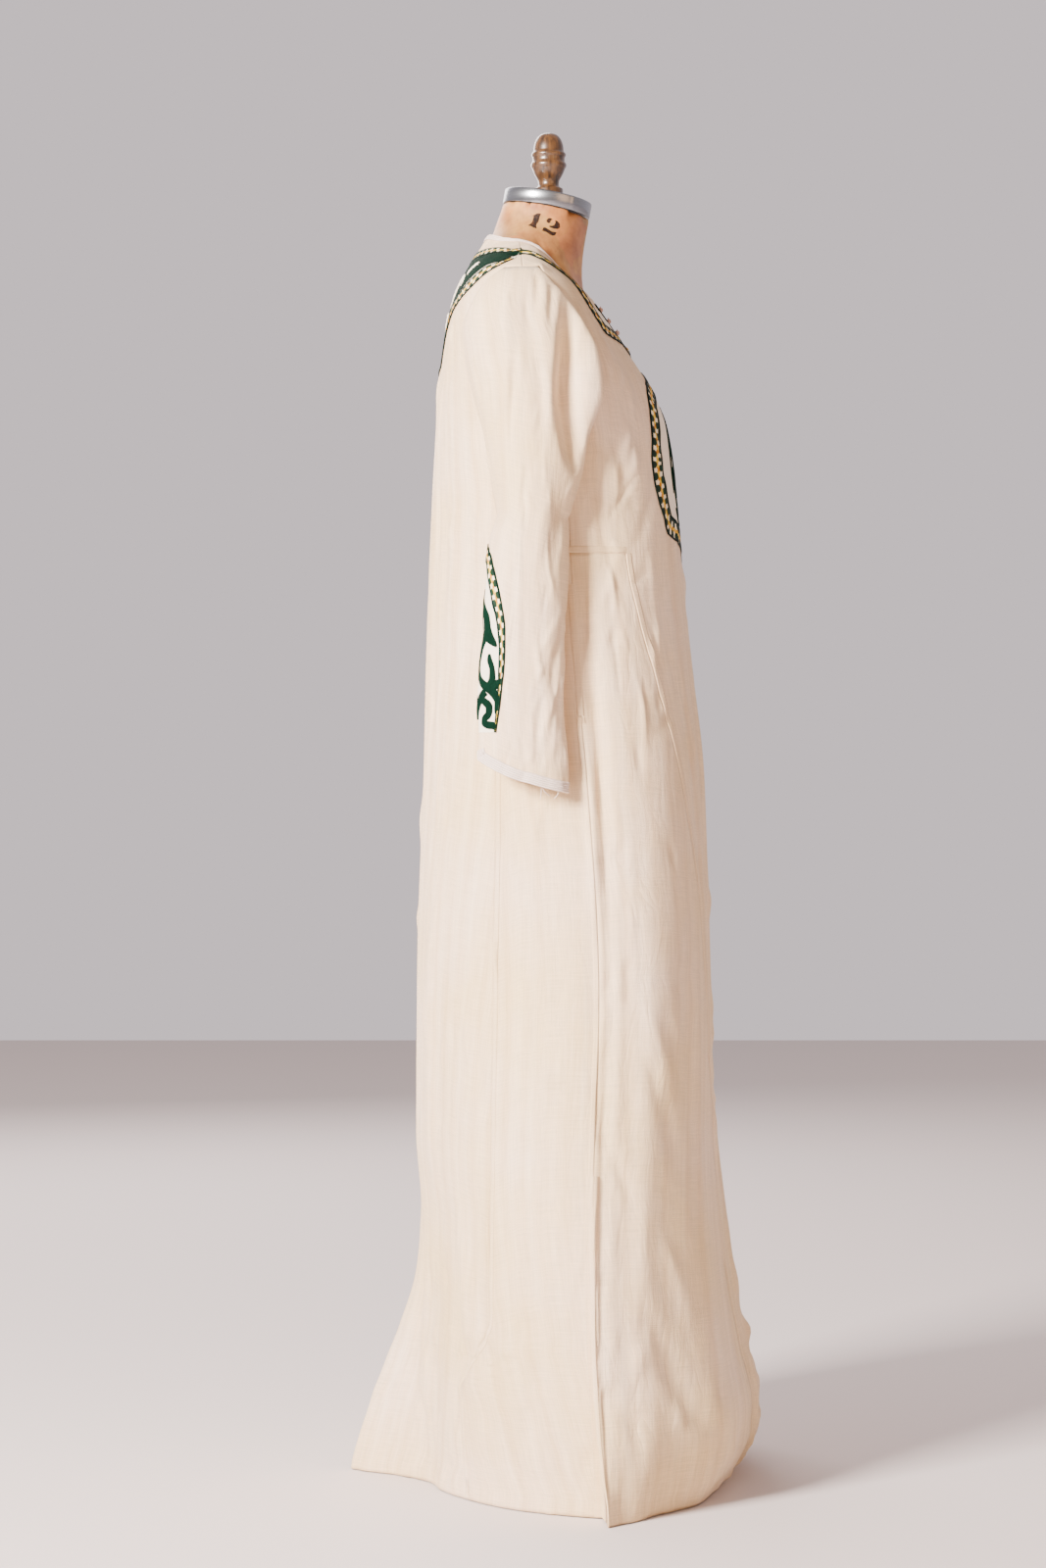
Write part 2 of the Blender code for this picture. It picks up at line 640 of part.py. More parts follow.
def body_pieces(home):
    """Front and back panels and the four gores."""
    grid = full_grid()
    row, place, is_right = body_masks()
    window = (place >= SIDE) & (place < BACK_SEAM)
    gore = (place >= FRONT_SEAM) & (place < SIDE) & (row < GORE_ROW)
    neck_slit = (place < SLIT) & (row >= LEVEL_ROW)
    shoulder = window & (row >= LEVEL_ROW)

    front = ((place < SIDE) & ~gore & ~neck_slit) | (shoulder & (place < SHOULDER))
    body_piece("front_panel", front, grid, home)
    back = (place >= BACK_SEAM) | (window & (row >= GORE_ROW) & (row < UNDERARM_ROW))
    back = back | (shoulder & (place >= SHOULDER))
    body_piece("back_panel", turned(back), from_centre_back(grid), home)

    level = np.arange(NECK_ROW + 1)[:, None]
    from_front = np.abs(np.arange(2 * CENTRE_BACK + 1) - CENTRE_BACK)[None, :]
    pocket = POCKET_HALF * (level > POCKET_END_ROW) * (level < POCKET_TOP_ROW) * (from_front == SIDE)
    for side, on_side in (("right", is_right), ("left", ~is_right)):
        body_piece(f"front_gore_{side}", gore & on_side, grid, home, spread=pocket)
        body_piece(f"back_gore_{side}", window & (row < GORE_ROW) & on_side, grid, home, spread=pocket)


def body_trims(home):
    """The neck binding and the embroidered pieces, lifted off the panels that they lie on.
    The plastron and the yoke have a raised border."""
    grid = full_grid()
    row, place, is_right = body_masks()
    over = (TRIM_LIFT, TRIM_LIFT + TRIM_WALL)
    binding = (row >= BINDING_ROW) & (place >= SLIT)
    body_piece("neck_binding", turned(binding), from_centre_back(grid), home, BRAID, 0, over)

    round_neck = (row >= BAND_LOW_ROW) & (row < BAND_TOP_ROW)
    beside_slit = (place < LEAF) & (row >= COLLAR_FOOT_ROW) & (row < BAND_TOP_ROW)
    collar = (place >= SLIT) & (place < SHOULDER) & (round_neck | beside_slit)
    for side, on_side in (("right", is_right), ("left", ~is_right)):
        body_piece(f"collar_band_{side}", collar & on_side, grid, home, EMBROIDERY, 0, over)

    rows, columns = np.mgrid[0 : NECK_ROW + 1, -CENTRE_BACK : CENTRE_BACK + 1]
    plastron = (place < LEAF) & (row >= GORE_ROW) & (row < PLASTRON_TOP_ROW)
    border = (np.abs(columns) >= LEAF_INNER) | (rows >= PLASTRON_TOP_ROW - 1)
    over = (TRIM_LIFT, TRIM_LIFT + TRIM_WALL + RAISED_BORDER * border)
    body_piece("front_plastron", plastron, grid, home, EMBROIDERY, 0, over)

    yoke = (place >= BACK_SEAM) & (row >= LEVEL_ROW) & (row < BAND_TOP_ROW)
    yoke = yoke | (round_neck & (place >= SHOULDER))
    border = (rows >= BAND_LOW_ROW) | (rows <= LEVEL_ROW)
    over = (TRIM_LIFT, TRIM_LIFT + TRIM_WALL + RAISED_BORDER * border)
    body_piece("back_yoke", turned(yoke), from_centre_back(grid), home, EMBROIDERY, 0, over)


def sleeve(turn, z):
    """The outer face of the right sleeve. It goes round from 0 at the back fold by way of
    the outer side to 180 at the front fold, and by the inner side back to 360."""
    turn, z = np.broadcast_arrays(np.asarray(turn, float), np.asarray(z, float))
    turn = turn % 360
    low = {name: read(SLEEVE_COLUMNS, SLEEVE_ROWS, name, z) for name in SLEEVE_COLUMNS[1:]}
    high = {name: read(CAP_COLUMNS, CAP_ROWS, name, z) for name in CAP_COLUMNS[1:]}
    back_seam, front_seam = armhole_edge("back_y", z), armhole_edge("front_y", z)
    above = z >= UNDERARM_Z
    back_y = np.where(above, back_seam[..., 1], low["back_y"])
    back_x = np.where(above, -back_seam[..., 0], low["back_x"])
    front_y = np.where(above, front_seam[..., 1], low["front_y"])
    front_x = np.where(above, -front_seam[..., 0], low["front_x"])
    out_x = np.where(above, high["out_x"], low["out_x"])
    radians = np.radians(turn)
    cosine, sine = np.cos(radians), np.sin(radians)
    share = (1 - np.sign(cosine) * np.abs(cosine) ** (2 / SLEEVE_POWER)) / 2
    y = back_y + (front_y - back_y) * share
    edge_x = back_x + (front_x - back_x) * share
    reach = np.abs(sine) ** (2 / SLEEVE_POWER)
    x = np.where(sine >= 0, edge_x + (out_x - edge_x) * reach, edge_x + (low["in_x"] - edge_x) * reach)
    is_outer = (turn >= 0) & (turn <= 180)
    overhang = np.where(above & is_outer, high["overhang"], 0)
    bulge = np.exp(-(((turn - OVERHANG_TURN) / OVERHANG_WIDTH) ** 2))
    y = y - overhang * bulge * np.clip((180 - turn) / OVERHANG_EASE, 0, 1)
    steep = np.where(y > high["trough_y"], TROUGH_FRONT, TROUGH_BACK)
    trough = high["trough"] * np.exp(-(((y - high["trough_y"]) / steep) ** 2))
    x = x - np.where(is_outer, trough * np.abs(sine), 0)
    return np.stack([-x, y, z], axis=-1)


def armhole_edge(column, z):
    """The sleeve's edge along the armhole, lapped over the panel's edge."""
    level = np.clip(z, UNDERARM_Z, ARMHOLE_TOP_Z)
    angle = angle_at_y(read(ARMHOLE_COLUMNS, ARMHOLE_ROWS, column, level), level)
    return body(angle, level) + (WALL + 2 * SEAM_GAP) * body_normal(angle, level)


def sleeve_rows():
    """Shares of the way up from the cuff to the underarm, and the heights above it."""
    braid = CUFF_BRAID / (UNDERARM_Z - CUFF_BACK_Z)
    below = (0.0, braid, 0.16, 0.32, 0.48, 0.64, 0.78, 0.90, 1.0)
    return below, half_grid()[1][UNDERARM_ROW + 1 : LEVEL_ROW + 1, SIDE]


def cuff_z(turn):
    """The cuff's edge: lower at the front, with a short vent at the back fold."""
    share = (1 - np.cos(np.radians(turn))) / 2
    edge = CUFF_BACK_Z + (CUFF_FRONT_Z - CUFF_BACK_Z) * share - CUFF_SAG * np.sin(np.radians(turn)) ** 2
    return edge + CUFF_VENT * np.clip(1 - np.abs((turn + 180) % 360 - 180) / CUFF_VENT_TURN, 0, 1)


def sleeve_grid():
    """Turns and heights of the sleeve's grid, and which of its cells are cloth."""
    outer = np.linspace(0, 180, OUTER_SPAN + 1)
    inner = np.linspace(180, 360, INNER_SPAN + 1)[1:-1]
    turns = np.concatenate([outer, inner])
    below, above = sleeve_rows()
    rows = [cuff_z(turns) + share * (UNDERARM_Z - cuff_z(turns)) for share in below]
    heights = np.array(rows + [np.full_like(turns, z) for z in above])
    cells = np.ones((len(heights) - 1, len(turns)), bool)
    cells[len(below) - 1 :, OUTER_SPAN:] = False
    return np.broadcast_to(turns, heights.shape), heights, cells


def sleeve_normal(turn, z):
    """The sleeve's outward normal. Its turns run the other way from the body's, and above the
    underarm it ends at the armhole's edges."""
    turn = turn % 360
    above, is_outer = z >= UNDERARM_Z, turn <= 180
    low = np.where(above, np.where(is_outer, 0, 180), -20)
    high = np.where(above, np.where(is_outer, 180, 359.9), 380)
    return -outward(sleeve, turn, z, TURN_STEP, (low, high))


def sleeve_piece(name, grid, between, finish, home, is_left, is_ring=True):
    """A piece of the right sleeve, or of what is sewn on it, between two heights over the
    cloth's outer face. The left one is its mirror image."""
    turns, heights, cells = grid
    flip = (-1, 1, 1) if is_left else (1, 1, 1)
    points, normal = sleeve(turns, heights), sleeve_normal(turns, heights)
    inner, outer = ((points + normal * height) * flip for height in between)
    add_mesh(name, wall_between(outer, inner, cells, is_ring), finish, home)


def turn_at(distance, z):
    """How far round the sleeve lies each distance from its back fold, at one height. The
    outer side is ahead and the inner side behind."""
    turns = np.linspace(-100, 100, 201)
    steps = np.linalg.norm(np.diff(sleeve(turns, z), axis=0), axis=1)
    along = np.concatenate([[0], np.cumsum(steps)])
    return np.interp(distance, along - along[100], turns)


def arch_grid():
    """The pointed arch over the cuff, centred on the sleeve's back fold."""
    rows = []
    for z, half_width in ARCH_ROWS:
        rows.append(turn_at(np.linspace(-half_width, half_width, ARCH_SPAN + 1), z))
    heights = np.array([[z] * (ARCH_SPAN + 1) for z, half_width in ARCH_ROWS])
    return np.array(rows), heights, np.ones((len(rows) - 1, ARCH_SPAN), bool)


def sleeve_pieces(home):
    """Both sleeves, the braid round their cuffs and the embroidered arches."""
    turns, heights, cells = sleeve_grid()
    for side in ("right", "left"):
        is_left = side == "left"
        sleeve_piece(f"sleeve_{side}", (turns, heights, cells), (-WALL, 0), CLOTH, home, is_left)
        braid = (turns[:2], heights[:2], cells[:1])
        over = (TRIM_LIFT, TRIM_LIFT + TRIM_WALL)
        sleeve_piece(f"cuff_braid_{side}", braid, over, BRAID, home, is_left)
        over = (ARCH_LIFT, ARCH_LIFT + TRIM_WALL)
        sleeve_piece(f"sleeve_arch_{side}", arch_grid(), over, EMBROIDERY, home, is_left, False)


def torso(home):
    """The limbless form: the dress's own sections, smaller by the ease, then the neck."""
    angles, heights = full_grid()
    rings = []
    for row in TORSO_GRID_ROWS:
        z = np.full(2 * CENTRE_BACK, TORSO_BOTTOM_Z) if row is None else heights[row, :-1]
        angle = angles[POCKET_END_ROW, :-1] if row is None else angles[row, :-1]
        ease = read(EASE_COLUMNS, EASE_ROWS, "ease", z)[:, None]
        ring = body(angle, z) - ease * body_normal(angle, z)
        ring[:, 2] = z if row is None or row <= YOKE_ROW else ring[:, 2]
        rings.append(ring)
    # The neck's rings carry on from the neckline, each point straight in from its own there
    turn = np.arctan2(-rings[-1][:, 0], NECK_AXIS_Y - rings[-1][:, 1])
    cosine = np.cos(turn)
    for row in NECK_RING_ROWS:
        ring = dict(zip(NECK_RING_COLUMNS, row))
        end_y = np.where(cosine > 0, ring["front_y"], ring["back_y"])
        end_z = np.where(cosine > 0, ring["front_z"], ring["back_z"])
        y = ring["side_y"] + (end_y - ring["side_y"]) * np.abs(cosine)
        z = ring["side_z"] + (end_z - ring["side_z"]) * np.abs(cosine) ** ring["lean"]
        rings.append(np.stack([-ring["side_x"] * np.sin(turn), y, z], axis=-1))
    add_mesh("form_torso", closed_loft(rings), KRAFT, home)


def turned_solid(name, rows, finish, home, steps):
    """A profile turned round the vertical axis."""
    data = bpy.data.meshes.new(name)
    points = [(radius, 0, z) for radius, z in rows]
    data.from_pydata(points, [(index, index + 1) for index in range(len(points) - 1)], [])
    made = add_object(name, data, finish, home)
    screw = made.modifiers.new("turn", "SCREW")
    screw.steps = screw.render_steps = steps
    screw.use_merge_vertices = True
    screw.merge_threshold = 0.00001
    screw.use_smooth_shade = True
    return made


def add_cylinder(name, radius, height, finish, home, segments, bevel=0.0):
    """A cylinder standing on its own origin."""
    shape = bmesh.new()
    bmesh.ops.create_cone(
        shape, cap_ends=True, segments=segments, radius1=radius, radius2=radius, depth=height,
        matrix=Matrix.Translation((0, 0, height / 2)),
    )
    made = add_mesh(name, shape, finish, home)
    if bevel:
        edge = made.modifiers.new("edge", "BEVEL")
        edge.width = bevel
        edge.segments = 2
    return made


def form_fittings(home, cutters):
    """The knob cap, the turned knob, the pole and the base of the form."""
    cap = add_cylinder("form_cap", CAP_RADIUS, CAP_HEIGHT, STEEL, home, CAP_STEPS, CAP_BEVEL)
    cap.rotation_euler = (CAP_TILT, 0, 0)
    up = Vector((0, -math.sin(CAP_TILT), math.cos(CAP_TILT)))
    cap.location = Vector(CAP_CENTRE) + up * SEAM_GAP
    knob = turned_solid("form_knob", KNOB_ROWS, WOOD, home, KNOB_STEPS)
    knob.location.y = CAP_CENTRE[1] - CAP_HEIGHT * math.sin(CAP_TILT)

    cutter_height = 2 * CAP_HEIGHT
    below = add_cylinder("below_knob", CAP_RADIUS, cutter_height, STEEL, cutters, CAP_STEPS)
    below.rotation_euler = cap.rotation_euler
    below.location = cap.location + up * (CAP_HEIGHT + SEAM_GAP - cutter_height)
    below.hide_render = True
    below.display_type = "WIRE"
    seat = knob.modifiers.new("seat", "BOOLEAN")
    seat.operation = "DIFFERENCE"
    seat.object = below

    turned_solid("form_base", BASE_ROWS, IRON, home, BASE_STEPS)
    pole_foot = BASE_ROWS[0][1] + SEAM_GAP
    pole_height = TORSO_BOTTOM_Z - SEAM_GAP - pole_foot
    pole = add_cylinder("form_pole", POLE_RADIUS, pole_height, STEEL, home, POLE_STEPS)
    pole.location.z = pole_foot


def placket(home):
    """The flap in the neck slit, a wall across the front that stands out a little."""
    heights = np.linspace(PLACKET_FOOT_Z, PLACKET_TOP_Z, PLACKET_STEPS + 1)
    share = np.clip(np.linspace(0, 1, PLACKET_STEPS + 1), *PLACKET_SHARES)
    reach = PLACKET_REACH * np.sin(np.pi / 2 * share / PLACKET_SHARES[1])
    edge_y = body(0.0, heights)[:, 1]
    front = list(zip(edge_y - reach, heights))
    back = list(zip(edge_y + WALL, heights))[::-1]
    data = bpy.data.curves.new("neck_placket", "CURVE")
    data.dimensions = "2D"
    data.fill_mode = "BOTH"
    data.extrude = PLACKET_WALL / 2
    outline = data.splines.new("POLY")
    outline.points.add(len(front + back) - 1)
    for point, (y, z) in zip(outline.points, front + back):
        point.co = (y, z, 0, 1)
    outline.use_cyclic_u = True
    made = add_object("neck_placket", data, CLOTH, home)
    made.matrix_world = Matrix(((0, 0, 1, 0), (1, 0, 0, 0), (0, 1, 0, 0), (0, 0, 0, 1)))


def buttons(home):
    """Three ball buttons right of the slit, and the loop round each from the left."""
    for index, z in enumerate(BUTTON_HEIGHTS, 1):
        normal = body_normal(BUTTON_ANGLE, z)
        seat = body(BUTTON_ANGLE, z) + normal * (TRIM_LIFT + TRIM_WALL + SEAM_GAP)
        shape = bmesh.new()
        bmesh.ops.create_uvsphere(shape, u_segments=10, v_segments=7, radius=BUTTON_RADIUS)
        ball = add_mesh(f"button_{index}", shape, BRAID, home)
        ball.location = seat + normal * BUTTON_RADIUS
        add_loop(f"button_loop_{index}", ball.location, home)


def add_loop(name, centre, home):
    """A loop of thin cord that lies round a button and runs back over the slit."""
    data = bpy.data.curves.new(name, "CURVE")
    data.dimensions = "3D"
    data.bevel_depth = LOOP_WIRE
    data.bevel_resolution = 1
    data.use_fill_caps = True
    line = data.splines.new("POLY")
    radius = BUTTON_RADIUS + LOOP_WIRE + SEAM_GAP
    arc = [math.radians(angle) for angle in LOOP_TURNS]
    around = [(-math.sin(turn) * radius, math.cos(turn) * radius) for turn in arc]
    points = [(LOOP_REACH, radius / 3)] + around + [(LOOP_REACH, -radius / 3)]
    line.points.add(len(points) - 1)
    for point, (x, z) in zip(line.points, points):
        point.co = (x, 0, z, 1)
    loop = add_object(name, data, BRAID, home)
    loop.location = centre


def clear_all():
    for existing in list(bpy.data.objects):
        bpy.data.objects.remove(existing)


def build():
    clear_all()
    home = collection("kaftan_dress_on_form")
    cutters = collection("cutters")
    body_pieces(home)
    body_trims(home)
    placket(home)
    buttons(home)
    sleeve_pieces(home)
    torso(home)
    form_fittings(home, cutters)


build()
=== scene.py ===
import math

import bpy
import numpy as np
from mathutils import Matrix, Vector
from mathutils.bvhtree import BVHTree


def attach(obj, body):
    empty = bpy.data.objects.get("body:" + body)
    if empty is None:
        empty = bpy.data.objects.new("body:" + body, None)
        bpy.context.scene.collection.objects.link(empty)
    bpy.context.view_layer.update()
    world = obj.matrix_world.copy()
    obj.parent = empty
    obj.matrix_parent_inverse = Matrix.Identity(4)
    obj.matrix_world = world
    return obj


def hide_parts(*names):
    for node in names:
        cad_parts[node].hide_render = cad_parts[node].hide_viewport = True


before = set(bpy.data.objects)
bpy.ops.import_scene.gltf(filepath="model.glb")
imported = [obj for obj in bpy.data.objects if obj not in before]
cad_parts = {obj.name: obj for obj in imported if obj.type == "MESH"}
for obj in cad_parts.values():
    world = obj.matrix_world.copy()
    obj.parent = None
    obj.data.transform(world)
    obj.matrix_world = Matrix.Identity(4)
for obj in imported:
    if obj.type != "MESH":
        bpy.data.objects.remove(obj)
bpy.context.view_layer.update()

# Camera and studio. The camera stands level at hip height, 4.2 m to the wearer's right. A big
# soft light stands behind the dress's back, to the camera's left, so its front is in shade.
CAMERA_PLACE = (-4.19, 0.0316, 0.774)
camera_data = bpy.data.cameras.new("camera")
camera_data.lens = 85
camera_data.sensor_width = 36
camera = bpy.data.objects.new("camera", camera_data)
camera.location = CAMERA_PLACE
camera.rotation_euler = (math.radians(90), 0, math.radians(-90))
bpy.context.scene.collection.objects.link(camera)
bpy.context.scene.camera = camera


def colour(code, alpha=1.0):
    """A linear colour from an sRGB hex code."""
    parts = [int(code[i : i + 2], 16) / 255 for i in (1, 3, 5)]
    linear = [p / 12.92 if p <= 0.04045 else ((p + 0.055) / 1.055) ** 2.4 for p in parts]
    return (*linear, alpha)


def node(tree, kind, inputs=(), **settings):
    """Adds a shader node with its settings, and sets or links its inputs."""
    made = tree.nodes.new("ShaderNode" + kind)
    for key, value in settings.items():
        setattr(made, key, value)
    for key, value in dict(inputs).items():
        if isinstance(value, bpy.types.NodeSocket):
            tree.links.new(value, made.inputs[key])
        else:
            made.inputs[key].default_value = value
    return made


def new_material(name, roughness, metallic=0.0, **sockets):
    """A material with its Principled shader's plain values set. Spaces in names are _ here."""
    made = bpy.data.materials.new(name)
    made.use_nodes = True
    shader = made.node_tree.nodes["Principled BSDF"]
    shader.inputs["Roughness"].default_value = roughness
    shader.inputs["Metallic"].default_value = metallic
    for key, value in sockets.items():
        shader.inputs[key.replace("_", " ")].default_value = value
    return made, made.node_tree, shader


def add_light(name, place, aim, size, power, tint):
    data = bpy.data.lights.new(name, "AREA")
    data.size = size
    data.energy = power
    data.color = colour(tint)[:3]
    lamp = bpy.data.objects.new(name, data)
    lamp.location = place
    lamp.rotation_euler = (Vector(aim) - Vector(place)).to_track_quat("-Z", "Y").to_euler()
    bpy.context.scene.collection.objects.link(lamp)


add_light("key", (-3.1, 2.6, 2.3), (0, 0, 0.85), 1.1, 930, "#fff3e8")
add_light("fill", (-3.4, -3.0, 1.8), (0, 0, 0.8), 2.4, 48, "#ffc898")
add_light("far_side", (3.4, 1.2, 2.6), (0, 0, 0.8), 2.6, 160, "#fdf3ee")

bpy.ops.mesh.primitive_plane_add(size=14, location=(0, 0, -0.0006))
floor = bpy.context.object
floor.name = "studio_floor"
paper, tree, shader = new_material("matt_studio_paper", 0.9)
shader.inputs["Base Color"].default_value = colour("#d3cacb")
floor.data.materials.append(paper)

world = bpy.data.worlds.new("studio")
world.use_nodes = True
around = node(world.node_tree, "TexCoord").outputs["Generated"]
ahead = node(world.node_tree, "SeparateXYZ", {0: around})
lit_wall = node(world.node_tree, "MapRange", {0: ahead.outputs["X"], 1: -0.5, 2: 0.6})
wall = node(world.node_tree, "MixRGB", {0: lit_wall.outputs[0], 1: colour("#a89a92"), 2: colour("#d6cacd")})
backdrop = world.node_tree.nodes["Background"]
world.node_tree.links.new(wall.outputs[0], backdrop.inputs["Color"])
backdrop.inputs["Strength"].default_value = 1.25
bpy.context.scene.world = world

# Pole and base of the form. The pole is a drawn steel tube and the base a cast iron disc under
# black enamel. The skirt hides both, so they keep the frame's own shapes.


def feed(source, shader, socket):
    """Links a node's first output to one of the Principled shader's sockets."""
    shader.id_data.links.new(source.outputs[0], shader.inputs[socket])


pole_steel, tree, shader = new_material("drawn_steel_tube", 0.32, 1.0)
place = node(tree, "TexCoord").outputs["Object"]
drawn = node(tree, "Mapping", {"Vector": place, "Scale": (900, 900, 4)})
streaks = node(tree, "TexNoise", {"Vector": drawn.outputs[0], "Scale": 1.0, "Detail": 2.0})
tone = node(tree, "MixRGB", {0: streaks.outputs["Fac"], 1: colour("#b9babd"), 2: colour("#8f9194")})
feed(tone, shader, "Base Color")
enamel, tree, shader = new_material("black_enamel_on_cast_iron", 0.38, 0.0)
place = node(tree, "TexCoord").outputs["Object"]
cast = node(tree, "TexNoise", {"Vector": place, "Scale": 240.0, "Detail": 3.0})
wear = node(tree, "MixRGB", {0: cast.outputs["Fac"], 1: colour("#17171a"), 2: colour("#26262a")})
feed(wear, shader, "Base Color")
grain = node(tree, "Bump", {"Strength": 0.3, "Distance": 0.0004, "Height": cast.outputs["Fac"]})
feed(grain, shader, "Normal")


def wear_material(piece, finish):
    piece.data.materials.clear()
    piece.data.materials.append(finish)


wear_material(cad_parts["form_pole"], pole_steel)
wear_material(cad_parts["form_base"], enamel)

# Torso of the form, papier mache under pasted brown paper and a thin varnish. It is the
# frame's torso with its facets merged and smoothed. Only its neck shows over the dress.


def finish_piece(piece, slot, *nodes):
    """A finished piece rides on the only body and stands for nodes, which it hides. Its slot is not used."""
    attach(piece, "root")
    if nodes:
        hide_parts(*nodes)


def select_only(piece):
    bpy.ops.object.select_all(action="DESELECT")
    piece.select_set(True)
    bpy.context.view_layer.objects.active = piece


def smoothed_copy(name, node_name, levels):
    """A copy of a frame node, its loose triangles merged, rejoined as quads and subdivided."""
    piece = bpy.data.objects.new(name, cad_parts[node_name].data.copy())
    bpy.context.scene.collection.objects.link(piece)
    select_only(piece)
    bpy.ops.object.mode_set(mode="EDIT")
    bpy.ops.mesh.select_all(action="SELECT")
    bpy.ops.mesh.remove_doubles(threshold=0.00001)
    corner = math.radians(60)
    bpy.ops.mesh.tris_convert_to_quads(face_threshold=corner, shape_threshold=corner)
    bpy.ops.object.mode_set(mode="OBJECT")
    smooth = piece.modifiers.new("smooth", "SUBSURF")
    smooth.levels = smooth.render_levels = levels
    bpy.ops.object.modifier_apply(modifier="smooth")
    bpy.ops.object.shade_smooth()
    return piece


# Varnished kraft paper: matt fibre under a thin coat, mottled where the paste soaked in, with
# the torn edges of its strips just raised
kraft, tree, shader = new_material("varnished_kraft_paper", 0.52, Coat_Weight=0.18, Coat_Roughness=0.35)
place = node(tree, "TexCoord").outputs["Object"]
mottle = node(tree, "TexNoise", {"Vector": place, "Scale": 34.0, "Detail": 5.0, "Roughness": 0.62})
soaked = node(tree, "ValToRGB", {0: mottle.outputs["Fac"]})
soaked.color_ramp.elements[0].position = 0.34
soaked.color_ramp.elements[0].color = colour("#8f5a2e")
soaked.color_ramp.elements[1].position = 0.66
soaked.color_ramp.elements[1].color = colour("#c18c52")
strips = node(tree, "TexVoronoi", {"Vector": place, "Scale": 22.0}, feature="F1", distance="CHEBYCHEV")
strip_tone = node(
    tree, "MixRGB", {0: 0.14, 1: soaked.outputs[0], 2: strips.outputs["Color"]}, blend_type="OVERLAY"
)
feed(strip_tone, shader, "Base Color")
fibre = node(tree, "TexNoise", {"Vector": place, "Scale": 620.0, "Detail": 2.0})
paper_relief = node(tree, "Math", {0: fibre.outputs["Fac"], 1: strips.outputs["Distance"]}, operation="ADD")
bump = node(tree, "Bump", {"Strength": 0.35, "Distance": 0.0004, "Height": paper_relief.outputs[0]})
feed(bump, shader, "Normal")

torso = smoothed_copy("torso", "form_torso", 1)
wear_material(torso, kraft)
finish_piece(torso, "kraft", "form_torso")

# Size number 12, stencilled on the neck's right side. Corners are in millimetres from the
# number's middle, ahead of it and up.
NUMBER_CENTRE = (0.0080, 1.3993)
NUMBER_SHAPES = (
    ((-12.9, 10.3), (-10.3, 11.4), (-8.2, 12.6), (-5.7, 12.9), (-3.4, 12.1), (-4.7, 9.9), (-5.5, 6.8),
     (-6.5, 2.7), (-8.4, 0.2), (-9.0, -2.0), (-8.1, -5.3), (-10.1, -4.8), (-12.1, -4.1), (-14.4, -2.4),
     (-18.2, -1.5), (-15.4, 0.3), (-13.4, 2.4), (-12.2, 7.0), (-11.4, 9.3)),
    ((9.5, 6.1), (8.0, 7.3), (6.4, 7.7), (3.9, 6.8), (2.4, 4.7), (3.2, 2.6), (5.3, 1.6), (7.1, 2.6),
     (7.3, 4.4), (7.9, 5.0)),
    ((12.1, 5.5), (14.6, 4.7), (17.4, 1.9), (17.8, -2.2), (15.2, -4.5), (11.1, -4.3), (5.3, -2.4),
     (6.1, -1.2), (9.1, -1.2), (11.4, 0.1), (12.7, 2.9)),
    ((-0.9, -3.7), (1.1, -3.4), (4.5, -5.3), (8.3, -7.8), (13.9, -8.3), (12.2, -11.8), (9.5, -12.6),
     (6.8, -11.8), (2.6, -9.0), (-2.4, -7.5)),
)
INK_LIFT = 0.00012
corners, shapes = [], []
for shape in NUMBER_SHAPES:
    shapes.append(list(range(len(corners), len(corners) + len(shape))))
    corners += [(-0.2, NUMBER_CENTRE[0] - ahead / 1000, NUMBER_CENTRE[1] + up / 1000) for ahead, up in shape]
ink_data = bpy.data.meshes.new("stencilled_number")
ink_data.from_pydata(corners, [], shapes)
number = bpy.data.objects.new("stencilled_number", ink_data)
bpy.context.scene.collection.objects.link(number)
select_only(number)
bpy.ops.object.mode_set(mode="EDIT")
bpy.ops.mesh.select_all(action="SELECT")
bpy.ops.mesh.quads_convert_to_tris(ngon_method="BEAUTY")
bpy.ops.mesh.subdivide(number_cuts=3)
bpy.ops.object.mode_set(mode="OBJECT")
paper_face = BVHTree.FromPolygons(
    [vertex.co.copy() for vertex in torso.data.vertices],
    [tuple(face.vertices) for face in torso.data.polygons],
)
for vertex in ink_data.vertices:
    hit, normal, _, _ = paper_face.ray_cast(vertex.co, Vector((1, 0, 0)))
    vertex.co = hit + normal * INK_LIFT
# The flat shapes were drawn facing the wearer's right, outwards
if ink_data.polygons[0].normal.x > 0:
    ink_data.flip_normals()
# Brown-black stencil ink, worn thin where the brush was dry
ink, tree, shader = new_material("stencil_ink", 0.6, Specular_IOR_Level=0.3)
place = node(tree, "TexCoord").outputs["Object"]
dry = node(tree, "TexNoise", {"Vector": place, "Scale": 420.0, "Detail": 3.0})
worn = node(tree, "MapRange", {0: dry.outputs["Fac"], 1: 0.48, 2: 0.70})
tone = node(tree, "MixRGB", {0: worn.outputs[0], 1: colour("#180b06"), 2: colour("#4a2a18")})
feed(tone, shader, "Base Color")
wear_material(number, ink)
finish_piece(number, "kraft")

# Neck cap, a pressed steel cup over the neck's end, brushed round its rim. Its strip is lapped
# and soldered, which leaves a bright seam on the wearer's right.
CAP_RADIUS = 0.0497
CAP_HEIGHT = 0.0165
CAP_CENTRE = Vector((0.0, 0.0055, 1.4219))
CAP_TILT = math.atan2(0.0178, 0.0977)
CAP_STEPS = 180
SEAM_TURN = 36
SEAM_WIDTH = 2.4
SEAM_LIFT = 0.0004
CAP_PROFILE = (
    (0.0468, 0.0008),
    (0.0480, 0.0003),
    (0.0492, 0.0003),
    (0.0497, 0.0009),
    (0.0497, 0.0150),
    (0.0494, 0.0159),
    (0.0486, 0.0164),
    (0.0440, 0.0166),
    (0.0300, 0.0165),
)


